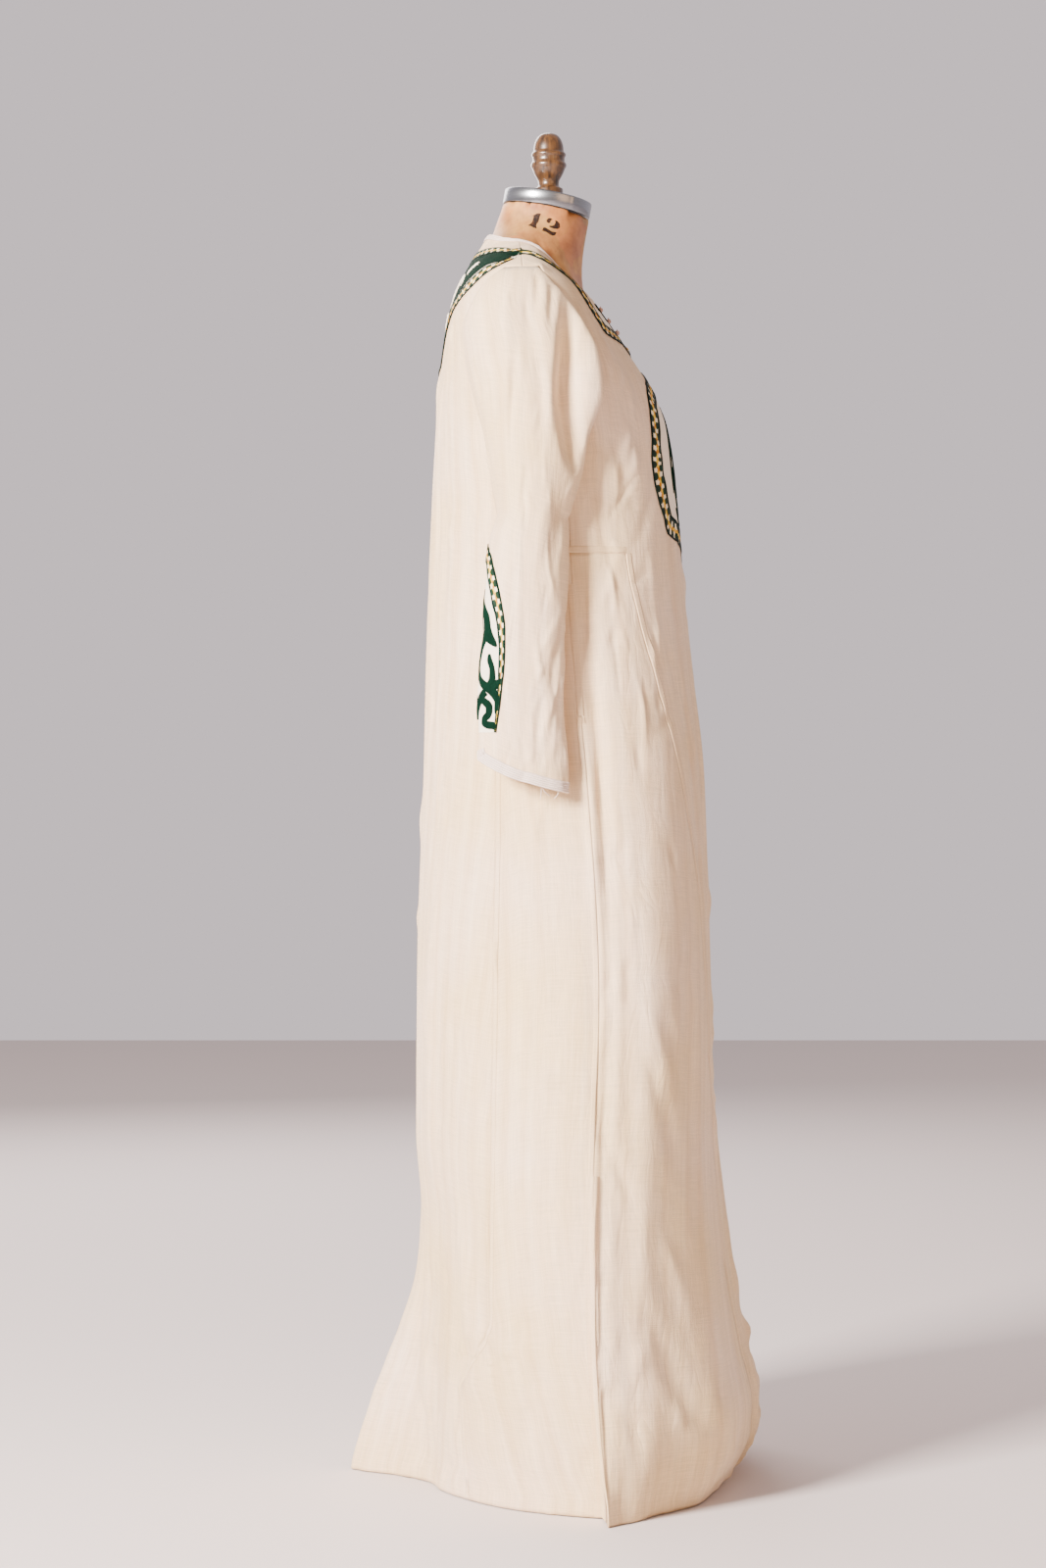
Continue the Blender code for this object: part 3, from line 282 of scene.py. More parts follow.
def lathe(name, rows, steps):
    """Turns a profile of radius and height, bottom to top, by extruding a circle ring by ring."""
    bpy.ops.object.select_all(action="DESELECT")
    bpy.ops.mesh.primitive_circle_add(vertices=steps, radius=rows[0][0], fill_type="NGON", location=(0, 0, 0))
    piece = bpy.context.object
    piece.name = name
    bpy.ops.object.mode_set(mode="EDIT")
    bpy.ops.mesh.select_all(action="SELECT")
    bpy.ops.transform.translate(value=(0, 0, rows[0][1]))
    for (old_radius, old_z), (radius, z) in zip(rows[:-1], rows[1:]):
        bpy.ops.mesh.extrude_region_move(TRANSFORM_OT_translate={"value": (0, 0, z - old_z)})
        scale = radius / old_radius
        bpy.ops.transform.resize(value=(scale, scale, 1), center_override=(0, 0, 0))
    bpy.ops.mesh.select_all(action="SELECT")
    bpy.ops.mesh.normals_make_consistent(inside=False)
    bpy.ops.object.mode_set(mode="OBJECT")
    bpy.ops.object.shade_smooth_by_angle(angle=math.radians(50))
    return piece


cap = lathe("neck_cap", CAP_PROFILE, CAP_STEPS)
for vertex in cap.data.vertices:
    turn = math.degrees(math.atan2(-vertex.co.y, -vertex.co.x))
    if abs(turn - SEAM_TURN) < SEAM_WIDTH and vertex.co.z < CAP_HEIGHT:
        vertex.co.xy *= 1 + SEAM_LIFT / CAP_RADIUS
cap_up = Vector((0, -math.sin(CAP_TILT), math.cos(CAP_TILT)))
cap.data.transform(Matrix.Translation(CAP_CENTRE + cap_up * 0.0003) @ Matrix.Rotation(CAP_TILT, 4, "X"))

# Brushed steel: the brush ran round the rim, so its scratches are long round the axis and
# short across, and highlights spread up and down
brushed, tree, shader = new_material("brushed_steel", 0.24, 1.0, Anisotropic=0.6)
place = node(tree, "TexCoord").outputs["Object"]
brush = node(tree, "Mapping", {"Vector": place, "Rotation": (-CAP_TILT, 0, 0), "Scale": (14, 14, 3800)})
scratch = node(tree, "TexNoise", {"Vector": brush.outputs[0], "Scale": 1.0, "Detail": 3.0})
tone = node(tree, "MixRGB", {0: scratch.outputs["Fac"], 1: colour("#6f757f"), 2: colour("#b3b8bf")})
feed(tone, shader, "Base Color")
bump = node(tree, "Bump", {"Strength": 0.12, "Distance": 0.0002, "Height": scratch.outputs["Fac"]})
feed(bump, shader, "Normal")
wear_material(cap, brushed)
finish_piece(cap, "steel", "form_cap")

# Knob, one piece of dark stained hardwood turned on a lathe, with two bead rings and a waist,
# and a thick old varnish
KNOB_FOOT_Z = 1.4372
KNOB_STEPS = 72
KNOB_PROFILE = (
    (0.0163, KNOB_FOOT_Z),
    (0.0163, 1.4466),
    (0.0156, 1.4478),
    (0.0130, 1.4490),
    (0.0119, 1.4508),
    (0.0116, 1.4530),
    (0.0119, 1.4560),
    (0.0130, 1.4585),
    (0.0146, 1.4612),
    (0.0162, 1.4642),
    (0.0175, 1.4672),
    (0.0185, 1.4698),
    (0.0190, 1.4710),
    (0.0198, 1.4722),
    (0.0202, 1.4737),
    (0.0200, 1.4754),
    (0.0192, 1.4768),
    (0.0184, 1.4778),
    (0.0182, 1.4800),
    (0.0183, 1.4824),
    (0.0186, 1.4834),
    (0.0193, 1.4844),
    (0.0196, 1.4857),
    (0.0193, 1.4871),
    (0.0184, 1.4882),
    (0.0174, 1.4892),
    (0.0171, 1.4910),
    (0.0169, 1.4935),
    (0.0164, 1.4968),
    (0.0155, 1.5000),
    (0.0141, 1.5032),
    (0.0120, 1.5063),
    (0.0092, 1.5085),
    (0.0058, 1.5097),
    (0.0022, 1.5100),
)
knob = lathe("turned_knob", KNOB_PROFILE, KNOB_STEPS)
knob.data.transform(Matrix.Translation((0, CAP_CENTRE.y - CAP_HEIGHT * math.sin(CAP_TILT), 0)))

# Stained hardwood: fine growth rings cut by the turning, darker in the grooves, under a gloss
hardwood, tree, shader = new_material("varnished_hardwood", 0.34, Coat_Weight=0.6, Coat_Roughness=0.14)
place = node(tree, "TexCoord").outputs["Object"]
along = node(tree, "Mapping", {"Vector": place, "Scale": (260, 260, 40)})
figure = node(tree, "TexNoise", {"Vector": along.outputs[0], "Scale": 1.0, "Detail": 4.0, "Distortion": 0.6})
stain = node(tree, "ValToRGB", {0: figure.outputs["Fac"]})
stain.color_ramp.elements[0].position = 0.3
stain.color_ramp.elements[0].color = colour("#1f1209")
stain.color_ramp.elements[1].position = 0.7
stain.color_ramp.elements[1].color = colour("#5f3f20")
feed(stain, shader, "Base Color")
bump = node(tree, "Bump", {"Strength": 0.18, "Distance": 0.0003, "Height": figure.outputs["Fac"]})
feed(bump, shader, "Normal")
wear_material(knob, hardwood)
finish_piece(knob, "wood", "form_knob")

# Back panel, the widest piece of the kaftan, one length of cream cotton from the neck to the
# hem. Like every piece of the body, it is cut from one surface: a stack of sections round the
# form, whose front half is wider at the hem than its back half, so the side slits stand open.
UNDERARM_Z = 1.065
GORE_TOP_Z = 1.025
YOKE_Z = 1.205
ARMHOLE_TOP_Z = 1.334
SHOULDER_NECK_Z = 1.377
NECK_SLIT_HALF = 0.0012
HEM_SLIT_TOP_Z = 0.360
HEM_Z = 0.0004
POCKET_TOP_Z = 0.985
POCKET_END_Z = 0.850
POCKET_HALF = 0.0014
CLOTH = 0.0009
BODY_COLUMNS = ("z", "front", "back", "half", "back_half", "side_y", "front_power", "back_power")
BODY_ROWS = (
    (0.000, -0.203, 0.174, 0.337, 0.290, -0.056, 1.50, 1.50),
    (0.030, -0.228, 0.170, 0.336, 0.293, -0.054, 1.55, 1.50),
    (0.055, -0.236, 0.166, 0.334, 0.295, -0.052, 1.65, 1.55),
    (0.086, -0.236, 0.162, 0.330, 0.297, -0.049, 1.80, 1.60),
    (0.152, -0.220, 0.154, 0.320, 0.299, -0.045, 1.90, 1.70),
    (0.219, -0.206, 0.147, 0.310, 0.299, -0.043, 2.00, 1.80),
    (0.296, -0.194, 0.146, 0.298, 0.294, -0.042, 2.10, 1.90),
    (0.385, -0.184, 0.153, 0.282, 0.282, -0.044, 2.25, 2.00),
    (0.552, -0.178, 0.152, 0.247, 0.247, -0.050, 2.40, 2.10),
    (0.774, -0.171, 0.144, 0.204, 0.204, -0.038, 2.40, 2.20),
    (0.885, -0.160, 0.141, 0.187, 0.187, -0.028, 2.35, 2.20),
    (0.951, -0.153, 0.139, 0.178, 0.178, -0.023, 2.30, 2.20),
    (1.025, -0.146, 0.136, 0.172, 0.172, -0.019, 2.30, 2.20),
    (1.070, -0.142, 0.134, 0.172, 0.172, -0.014, 2.30, 2.20),
    (1.129, -0.137, 0.132, 0.177, 0.177, 0.000, 2.30, 2.20),
    (1.173, -0.130, 0.130, 0.182, 0.182, 0.008, 2.30, 2.20),
    (1.207, -0.118, 0.128, 0.187, 0.187, 0.015, 2.30, 2.20),
    (1.257, -0.087, 0.122, 0.195, 0.195, 0.024, 2.30, 2.20),
    (1.300, -0.056, 0.115, 0.199, 0.199, 0.030, 2.30, 2.20),
    (1.318, -0.043, 0.109, 0.196, 0.196, 0.031, 2.30, 2.20),
    (1.334, -0.024, 0.103, 0.183, 0.183, 0.032, 2.30, 2.20),
    (1.347, -0.011, 0.097, 0.158, 0.158, 0.033, 2.30, 2.20),
    (1.360, -0.002, 0.090, 0.127, 0.127, 0.034, 2.30, 2.20),
    (1.377, 0.010, 0.081, 0.088, 0.088, 0.036, 2.20, 2.20),
    (1.393, 0.024, 0.070, 0.074, 0.074, 0.042, 2.20, 2.20),
)
FOLD_COLUMNS = ("top_z", "top_angle", "end_z", "end_angle", "width", "height")
FOLD_ROWS = (
    (0.260, 180, 0.000, 179, 10, 0.052),
    (0.300, 158, 0.020, 155, 8, -0.012),
    (0.320, -160, 0.020, -152, 9, -0.010),
    (0.800, 126, 0.000, 124, 13, 0.007),
    (0.700, -128, 0.000, -122, 14, 0.010),
    (0.620, -108, 0.000, -106, 10, -0.009),
    (0.900, 82, 0.380, 79, 7, -0.007),
    (0.850, -80, 0.300, -78, 8, -0.006),
    (0.560, 58, 0.060, 62, 9, -0.008),
    (0.480, 40, 0.040, 44, 8, 0.008),
    (0.600, -60, 0.030, -64, 10, -0.009),
    (0.520, -36, 0.020, -34, 9, 0.009),
    (0.420, 14, 0.040, 17, 8, -0.005),
)
FRONT_SEAM_ROWS = (
    (0.000, 0.060),
    (0.250, 0.088),
    (0.450, 0.111),
    (0.655, 0.130),
    (0.750, 0.143),
    (0.930, 0.155),
    (1.025, 0.157),
    (1.070, 0.152),
    (1.150, 0.138),
    (1.240, 0.116),
    (1.300, 0.092),
    (1.393, 0.040),
)
BACK_SEAM_ROWS = (
    (0.000, 0.090),
    (0.117, 0.096),
    (0.206, 0.064),
    (0.600, 0.062),
    (1.025, 0.059),
)
# Height, and the armhole's front and back y
ARMHOLE_ROWS = (
    (1.065, -0.0170, 0.0590),
    (1.106, -0.0250, 0.0661),
    (1.155, -0.0320, 0.0740),
    (1.200, -0.0440, 0.0860),
    (1.240, -0.0400, 0.0940),
    (1.270, -0.0290, 0.0965),
    (1.300, -0.0120, 0.0860),
    (1.320, 0.0020, 0.0700),
    (1.334, 0.0150, 0.0520),
)
# Angle, the neckline's height, the drop to the band under it, and the level line's height
NECK_ROWS = (
    (0, 1.313, 0.009, 1.272),
    (10, 1.319, 0.010, 1.277),
    (21, 1.338, 0.012, 1.288),
    (35, 1.356, 0.015, 1.306),
    (60, 1.370, 0.020, 1.328),
    (76, 1.375, 0.023, ARMHOLE_TOP_Z),
    (104, 1.379, 0.024, ARMHOLE_TOP_Z),
    (115, 1.382, 0.024, 1.326),
    (126, 1.385, 0.025, 1.316),
    (147, 1.389, 0.025, 1.298),
    (158, 1.390, 0.025, 1.287),
    (169, 1.391, 0.025, 1.262),
    (180, 1.391, 0.025, 1.228),
)


def curve_through(places, values, at):
    """A smooth curve through a table's values, level where they turn back."""
    step = np.diff(places)
    slope = np.diff(values) / step
    product = slope[1:] * slope[:-1]
    total = slope[1:] + slope[:-1]
    inner = np.where(product > 0, 2 * product / np.where(product > 0, total, 1), 0)
    tangent = np.concatenate([slope[:1], inner, slope[-1:]])
    at = np.clip(at, places[0], places[-1])
    i = np.clip(np.searchsorted(places, at, side="right") - 1, 0, len(step) - 1)
    t = (at - places[i]) / step[i]
    start = (1 + 2 * t) * (1 - t) ** 2 * values[i] + t * (1 - t) ** 2 * step[i] * tangent[i]
    end = t * t * (3 - 2 * t) * values[i + 1] + t * t * (t - 1) * step[i] * tangent[i + 1]
    return start + end


def read(rows, column, at):
    """One column of a table, read at the value of its first column."""
    table = np.array(rows, float)
    return curve_through(table[:, 0], table[:, column], np.asarray(at, float))


def section_at(z):
    return {name: read(BODY_ROWS, i, z) for i, name in enumerate(BODY_COLUMNS) if i}


def smoothstep(value):
    value = np.clip(value, 0, 1)
    return value * value * (3 - 2 * value)


def body(angle, z):
    """The dress's outer face at an angle round it and a height. 0 is the centre front and 90
    the wearer's right side."""
    angle, z = np.broadcast_arrays(np.asarray(angle, float), np.asarray(z, float))
    angle = (angle + 180) % 360 - 180
    section = section_at(z)
    turn = np.radians(angle)
    sine, cosine = np.sin(np.abs(turn)), np.cos(turn)
    is_front = np.abs(angle) <= 90
    power = np.where(is_front, section["front_power"], section["back_power"])
    half = np.where(is_front, section["half"], section["back_half"])
    depth = np.where(is_front, section["side_y"] - section["front"], section["back"] - section["side_y"])
    x = -np.sign(angle) * half * np.clip(sine, 0, 1) ** (2 / power)
    y = section["side_y"] - np.sign(cosine) * depth * np.abs(cosine) ** (2 / power)
    push = np.zeros_like(z)
    for row in FOLD_ROWS:
        fold = dict(zip(FOLD_COLUMNS, row))
        along = (fold["top_z"] - z) / (fold["top_z"] - fold["end_z"])
        centre = fold["top_angle"] + (fold["end_angle"] - fold["top_angle"]) * np.clip(along, 0, 1.2)
        across = (angle - centre + 180) % 360 - 180
        push = push + fold["height"] * smoothstep(along) * np.exp(-((across / fold["width"]) ** 2))
    return np.stack([x - push * np.sin(turn), y - push * cosine, z], axis=-1)


def outward(surface, turn, z, turn_step, turn_limits, rise_step=0.003):
    """A surface's outward normal, by central differences kept inside limits."""
    low, high = np.clip(turn - turn_step, *turn_limits), np.clip(turn + turn_step, *turn_limits)
    around = surface(high, z) - surface(low, z)
    rise = surface(turn, z + rise_step) - surface(turn, z - rise_step)
    normal = np.cross(rise, around)
    return normal / np.linalg.norm(normal, axis=-1, keepdims=True)


def body_normal(angle, z):
    """The body's outward normal. The sides, where the hem slits open, end its smooth runs."""
    angle = (np.asarray(angle, float) + 180) % 360 - 180
    is_front = np.abs(angle) <= 90
    low = np.where(is_front, -90, np.where(angle > 0, 90.001, -270))
    high = np.where(is_front, 90, np.where(angle > 0, 270, -90.001))
    return outward(body, angle, z, 1.0, (low, high))


def angle_at_y(y, z):
    """Where the right side of the body's section reaches y."""
    section = section_at(z)
    ahead = section["side_y"] - y
    depth = np.where(ahead >= 0, section["side_y"] - section["front"], section["back"] - section["side_y"])
    power = np.where(ahead >= 0, section["front_power"], section["back_power"])
    cosine = np.clip(np.abs(ahead) / depth, 0, 1) ** (power / 2)
    return np.degrees(np.arccos(np.sign(ahead) * cosine))


def angle_at_x(x, z, on_back=False):
    """Where the front or the back of the body's section is at x. The right side's is over 0."""
    half = read(BODY_ROWS, 4 if on_back else 3, z)
    power = read(BODY_ROWS, 7 if on_back else 6, z)
    angle = np.degrees(np.arcsin(np.clip(np.abs(x) / half, 0, 1) ** (power / 2)))
    return -np.sign(x) * (180 - angle if on_back else angle)


def seam_angles(z):
    """Angles of the right side's seams and guide lines at a height, from front to back."""
    slit = np.abs(angle_at_x(NECK_SLIT_HALF, z))
    guide = np.abs(angle_at_x(0.3 * read(FRONT_SEAM_ROWS, 1, z), z))
    front_seam = np.abs(angle_at_x(read(FRONT_SEAM_ROWS, 1, z), z))
    armhole_z = np.clip(z, UNDERARM_Z, ARMHOLE_TOP_Z)
    front_armhole = angle_at_y(read(ARMHOLE_ROWS, 1, armhole_z), armhole_z)
    back_armhole = angle_at_y(read(ARMHOLE_ROWS, 2, armhole_z), armhole_z)
    back_seam = angle_at_y(read(BACK_SEAM_ROWS, 1, z), z)
    join = smoothstep((z - GORE_TOP_Z) / (UNDERARM_Z - GORE_TOP_Z))
    side = np.where(z < UNDERARM_Z, 90 + (front_armhole - 90) * join, front_armhole)
    back = np.where(z < UNDERARM_Z, back_seam + (back_armhole - back_seam) * join, back_armhole)
    shoulder = np.where(z > ARMHOLE_TOP_Z, 90.0, (side + back) / 2)
    return slit, guide, front_seam, side, shoulder, back, np.full_like(back, 180.0)


# Fine grid of the body: how many columns between seams, and rows between set heights
SPANS = (1, 12, 28, 40, 13, 13, 60)
SLIT, _, FRONT_SEAM, SIDE, SHOULDER, BACK_SEAM, CENTRE_BACK = np.cumsum(SPANS)
ROW_RUNS = (
    (HEM_Z, 0.016, 4),
    (0.016, HEM_SLIT_TOP_Z, 64),
    (HEM_SLIT_TOP_Z, POCKET_END_Z, 84),
    (POCKET_END_Z, POCKET_TOP_Z, 25),
    (POCKET_TOP_Z, GORE_TOP_Z, 8),
    (GORE_TOP_Z, UNDERARM_Z, 8),
    (UNDERARM_Z, YOKE_Z, 28),
)
ROWS = [HEM_Z]
RUN_ENDS = [0]
for low, high, count in ROW_RUNS:
    ROWS += list(np.linspace(low, high, count + 1)[1:])
    RUN_ENDS.append(len(ROWS) - 1)
HEM_SLIT_ROW, POCKET_END_ROW, POCKET_TOP_ROW, GORE_ROW, UNDERARM_ROW, YOKE_ROW = RUN_ENDS[2:]
YOKE_RUN = 22
LEVEL_ROW = YOKE_ROW + YOKE_RUN
NECK_RUN = 16
NECK_ROW = LEVEL_ROW + NECK_RUN


def grid_angles(z):
    """The angles of the right half's columns at each of some heights."""
    z = np.asarray(z, float)
    ends = [np.zeros_like(z)] + [np.asarray(angle) for angle in seam_angles(z)]
    columns = [ends[0]]
    for span, start, end in zip(SPANS, ends[:-1], ends[1:]):
        columns += [start + (end - start) * (step + 1) / span for step in range(span)]
    return np.stack(columns, axis=-1)


def on_columns(heights):
    """The angle of each column of the right half at that column's own height."""
    return np.diagonal(grid_angles(heights))


def drop_below(heights, distance):
    """How high the grid's columns are this far, along the cloth, below some heights."""
    lower = heights.copy()
    for _ in range(12):
        angles = on_columns(lower)
        rise = np.linalg.norm(body(angles, lower) - body(angles, lower - 0.002), axis=-1) / 0.002
        lower = lower - distance / 12 / rise
    return lower


neck_angles = on_columns(np.full(CENTRE_BACK + 1, SHOULDER_NECK_Z))
neck_heights, band_drops, level_heights = (read(NECK_ROWS, i, neck_angles) for i in (1, 2, 3))


def body_grid():
    """Angles and heights of the whole body's grid. The left half mirrors the right."""
    rows = [np.full(CENTRE_BACK + 1, z) for z in ROWS]
    rows += [YOKE_Z + (level_heights - YOKE_Z) * (i + 1) / YOKE_RUN for i in range(YOKE_RUN)]
    rows += [level_heights + (neck_heights - level_heights) * (i + 1) / NECK_RUN for i in range(NECK_RUN)]
    heights = np.array(rows)
    angles = np.array([on_columns(row) for row in heights])
    left = -angles[:, ::-1]
    return np.hstack([left[:, :-1], angles]), np.hstack([heights[:, ::-1][:, :-1], heights])


# Creases, placed one by one. Each lies on one face of the dress, from one place to another, in
# metres across the face and up it, with its own width, height (below 0 for a trough) and bow.
CREASE_ROWS = (
    ("right", -0.020, 1.010, -0.050, 0.700, 0.012, -0.0028, 0.004),
    ("right", -0.052, 0.700, -0.058, 0.300, 0.010, -0.0040, -0.006),
    ("right", -0.040, 0.900, -0.044, 0.560, 0.006, 0.0022, 0.003),
    ("right", -0.064, 0.692, -0.080, 0.712, 0.004, -0.0016, 0.000),
    ("right", 0.062, 0.720, 0.058, 0.250, 0.007, 0.0016, 0.002),
    ("right", 0.050, 0.660, 0.044, 0.300, 0.010, -0.0014, -0.004),
    ("right", 0.082, 0.180, 0.118, 0.120, 0.012, -0.0060, 0.004),
    ("right", 0.096, 0.260, 0.150, 0.060, 0.012, 0.0040, 0.010),
    ("right", -0.082, 0.760, -0.086, 0.420, 0.005, 0.0012, 0.002),
    ("right", -0.096, 0.540, -0.128, 0.420, 0.008, 0.0024, 0.006),
    ("right", -0.092, 0.500, -0.138, 0.330, 0.009, -0.0026, 0.008),
    ("right", -0.110, 0.300, -0.150, 0.180, 0.009, 0.0026, 0.006),
    ("right", -0.088, 0.240, -0.136, 0.110, 0.008, -0.0026, 0.004),
    ("right", -0.104, 0.160, -0.168, 0.060, 0.009, 0.0030, -0.006),
    ("right", -0.070, 0.200, -0.078, 0.030, 0.007, 0.0018, 0.002),
    ("right", 0.020, 0.180, 0.034, 0.020, 0.010, -0.0028, 0.003),
    ("right", 0.076, 0.100, 0.070, 0.010, 0.008, 0.0026, 0.002),
    ("right", -0.118, 1.140, -0.084, 1.010, 0.006, -0.0014, 0.004),
    ("right", -0.092, 1.180, -0.060, 1.060, 0.006, 0.0014, -0.003),
    ("right", -0.049, 1.266, -0.064, 1.210, 0.0034, 0.0028, 0.003),
    ("right", -0.059, 1.262, -0.076, 1.200, 0.0034, 0.0026, 0.003),
    ("right", -0.072, 1.240, -0.090, 1.170, 0.0040, 0.0022, 0.003),
    ("right", -0.060, 1.160, -0.082, 1.090, 0.0060, -0.0030, 0.004),
    ("right", -0.074, 1.176, -0.096, 1.100, 0.0045, 0.0024, 0.004),
    ("right", 0.104, 1.110, 0.092, 1.000, 0.006, -0.0018, 0.003),
    ("right", 0.112, 1.080, 0.104, 0.900, 0.008, 0.0016, 0.002),
    ("front", 0.020, 1.020, 0.016, 0.560, 0.012, -0.0034, 0.006),
    ("front", -0.046, 0.980, -0.034, 0.420, 0.011, 0.0030, -0.006),
    ("front", 0.074, 0.940, 0.060, 0.480, 0.010, -0.0026, 0.005),
    ("front", -0.100, 0.900, -0.112, 0.520, 0.010, -0.0026, 0.006),
    ("front", 0.120, 0.760, 0.150, 0.300, 0.012, 0.0036, -0.006),
    ("front", -0.150, 0.620, -0.190, 0.220, 0.012, 0.0034, 0.008),
    ("front", 0.010, 0.520, -0.030, 0.120, 0.012, 0.0036, 0.010),
    ("front", -0.070, 0.400, -0.110, 0.090, 0.011, -0.0034, 0.006),
    ("front", 0.090, 0.420, 0.110, 0.070, 0.011, -0.0036, -0.006),
    ("front", 0.180, 0.330, 0.230, 0.070, 0.010, 0.0030, 0.006),
    ("front", -0.030, 0.180, -0.050, 0.030, 0.009, 0.0026, 0.002),
    ("front", 0.040, 0.200, 0.056, 0.030, 0.009, -0.0024, 0.002),
    ("front", 0.110, 1.200, 0.070, 1.060, 0.007, -0.0016, 0.004),
    ("front", -0.112, 1.190, -0.076, 1.080, 0.007, -0.0016, -0.004),
    ("back", 0.020, 1.180, 0.030, 0.760, 0.014, -0.0026, 0.008),
    ("back", -0.060, 1.150, -0.052, 0.640, 0.012, 0.0028, -0.008),
    ("back", 0.096, 1.180, 0.084, 0.940, 0.009, -0.0026, 0.004),
    ("back", -0.104, 1.160, -0.088, 0.900, 0.009, -0.0026, -0.004),
    ("back", 0.060, 0.860, 0.072, 0.360, 0.013, 0.0036, 0.006),
    ("back", -0.012, 0.760, -0.020, 0.320, 0.012, -0.0032, 0.008),
    ("back", -0.110, 0.720, -0.130, 0.280, 0.013, 0.0036, -0.006),
    ("back", 0.130, 0.560, 0.150, 0.160, 0.013, -0.0040, 0.006),
    ("back", 0.030, 0.320, 0.040, 0.060, 0.012, -0.0060, 0.004),
    ("back", -0.046, 0.300, -0.060, 0.040, 0.012, -0.0060, -0.004),
    ("back", -0.180, 0.360, -0.210, 0.050, 0.012, 0.0040, 0.006),
    ("left", -0.044, 0.980, -0.060, 0.560, 0.012, -0.0030, 0.005),
    ("left", -0.100, 0.760, -0.120, 0.300, 0.011, 0.0030, 0.008),
    ("left", 0.052, 0.700, 0.046, 0.240, 0.010, 0.0022, -0.004),
    ("left", -0.110, 0.360, -0.150, 0.110, 0.010, -0.0030, 0.006),
    ("left", -0.080, 0.220, -0.100, 0.040, 0.008, 0.0022, 0.003),
    ("left", 0.030, 0.200, 0.040, 0.030, 0.010, -0.0028, 0.003),
)
FACES = {"right": (-1, 1, 0), "left": (1, 1, 0), "front": (-1, 0, 1), "back": (1, 0, 1)}


def crease_height(across, width):
    """A soft ridge with a shallower trough along one side."""
    return np.exp(-((across / width) ** 2)) - 0.4 * np.exp(-(((across - 1.7 * width) / (1.4 * width)) ** 2))


def along_line(across, up, start, end, bow):
    """How far along a bowed line points lie, from 0 to 1, and how far beside it."""
    line = np.subtract(end, start)
    length = np.hypot(*line)
    away = np.stack([across - start[0], up - start[1]], axis=-1)
    along = away @ line / length**2
    side = (away[..., 0] * line[1] - away[..., 1] * line[0]) / length
    return along, side - bow * 4 * along * (1 - along)


def tapered(along):
    """Rises from 0 at a line's ends to 1 along its middle."""
    return smoothstep(along / 0.3) * smoothstep((1 - along) / 0.35)


def placed_creases(points, normals):
    height = np.zeros(points.shape[:-1])
    for face, across_0, up_0, across_1, up_1, width, rise, bow in CREASE_ROWS:
        sign, is_side = FACES[face][0], FACES[face][1]
        normal_axis, across_axis = (0, 1) if is_side else (1, 0)
        facing = smoothstep((sign * normals[..., normal_axis] - 0.25) / 0.3)
        along, side = along_line(
            points[..., across_axis], points[..., 2], (across_0, up_0), (across_1, up_1), bow
        )
        height += facing * rise * tapered(along) * crease_height(side, width)
    return height


class Wrinkles:
    """Many short, soft, uneven creases scattered over some points, most of them upright."""

    def __init__(self, seed, centres, count, length, width, height, lean):
        chance = np.random.default_rng(seed)
        flat = centres.reshape(-1, 3)
        self.middle = flat[chance.integers(0, len(flat), count)]
        self.length = chance.uniform(0.35, 1.0, count) * length
        self.width = chance.uniform(0.5, 1.0, count) * width
        self.height = chance.uniform(-1.0, 1.0, count) * height
        tilt = chance.normal(0, lean, count)
        way = chance.uniform(0, 2 * math.pi, count)
        side = np.stack([np.cos(way), np.sin(way), np.zeros(count)], axis=-1)
        self.line = np.cos(tilt)[:, None] * np.array([0, 0, 1.0]) + np.sin(tilt)[:, None] * side

    def at(self, points):
        height = np.zeros(points.shape[:-1])
        for middle, length, width, rise, line in zip(
            self.middle, self.length, self.width, self.height, self.line
        ):
            near = np.linalg.norm(points - middle, axis=-1) < length / 2 + 3 * width
            away = points[near] - middle
            along = away @ line
            beside = np.linalg.norm(away - along[:, None] * line, axis=-1)
            fade = smoothstep(1 - np.abs(along) / (length / 2))
            height[near] += rise * fade * np.exp(-((beside / width) ** 2))
        return height


body_angles, body_heights = body_grid()
body_plain = body(body_angles, body_heights)
fine_wrinkles = Wrinkles(11, body_plain, 760, 0.16, 0.0058, 0.0030, 0.36)
hem_wrinkles = Wrinkles(12, body_plain[: HEM_SLIT_ROW // 2], 170, 0.11, 0.0075, 0.0044, 0.60)
SIDE_SEAM_RIDGE = 0.0026
SIDE_SEAM_TROUGH = 0.0062
HEM_TURN_UP = 0.0165
HEM_PUCKER = 0.0006


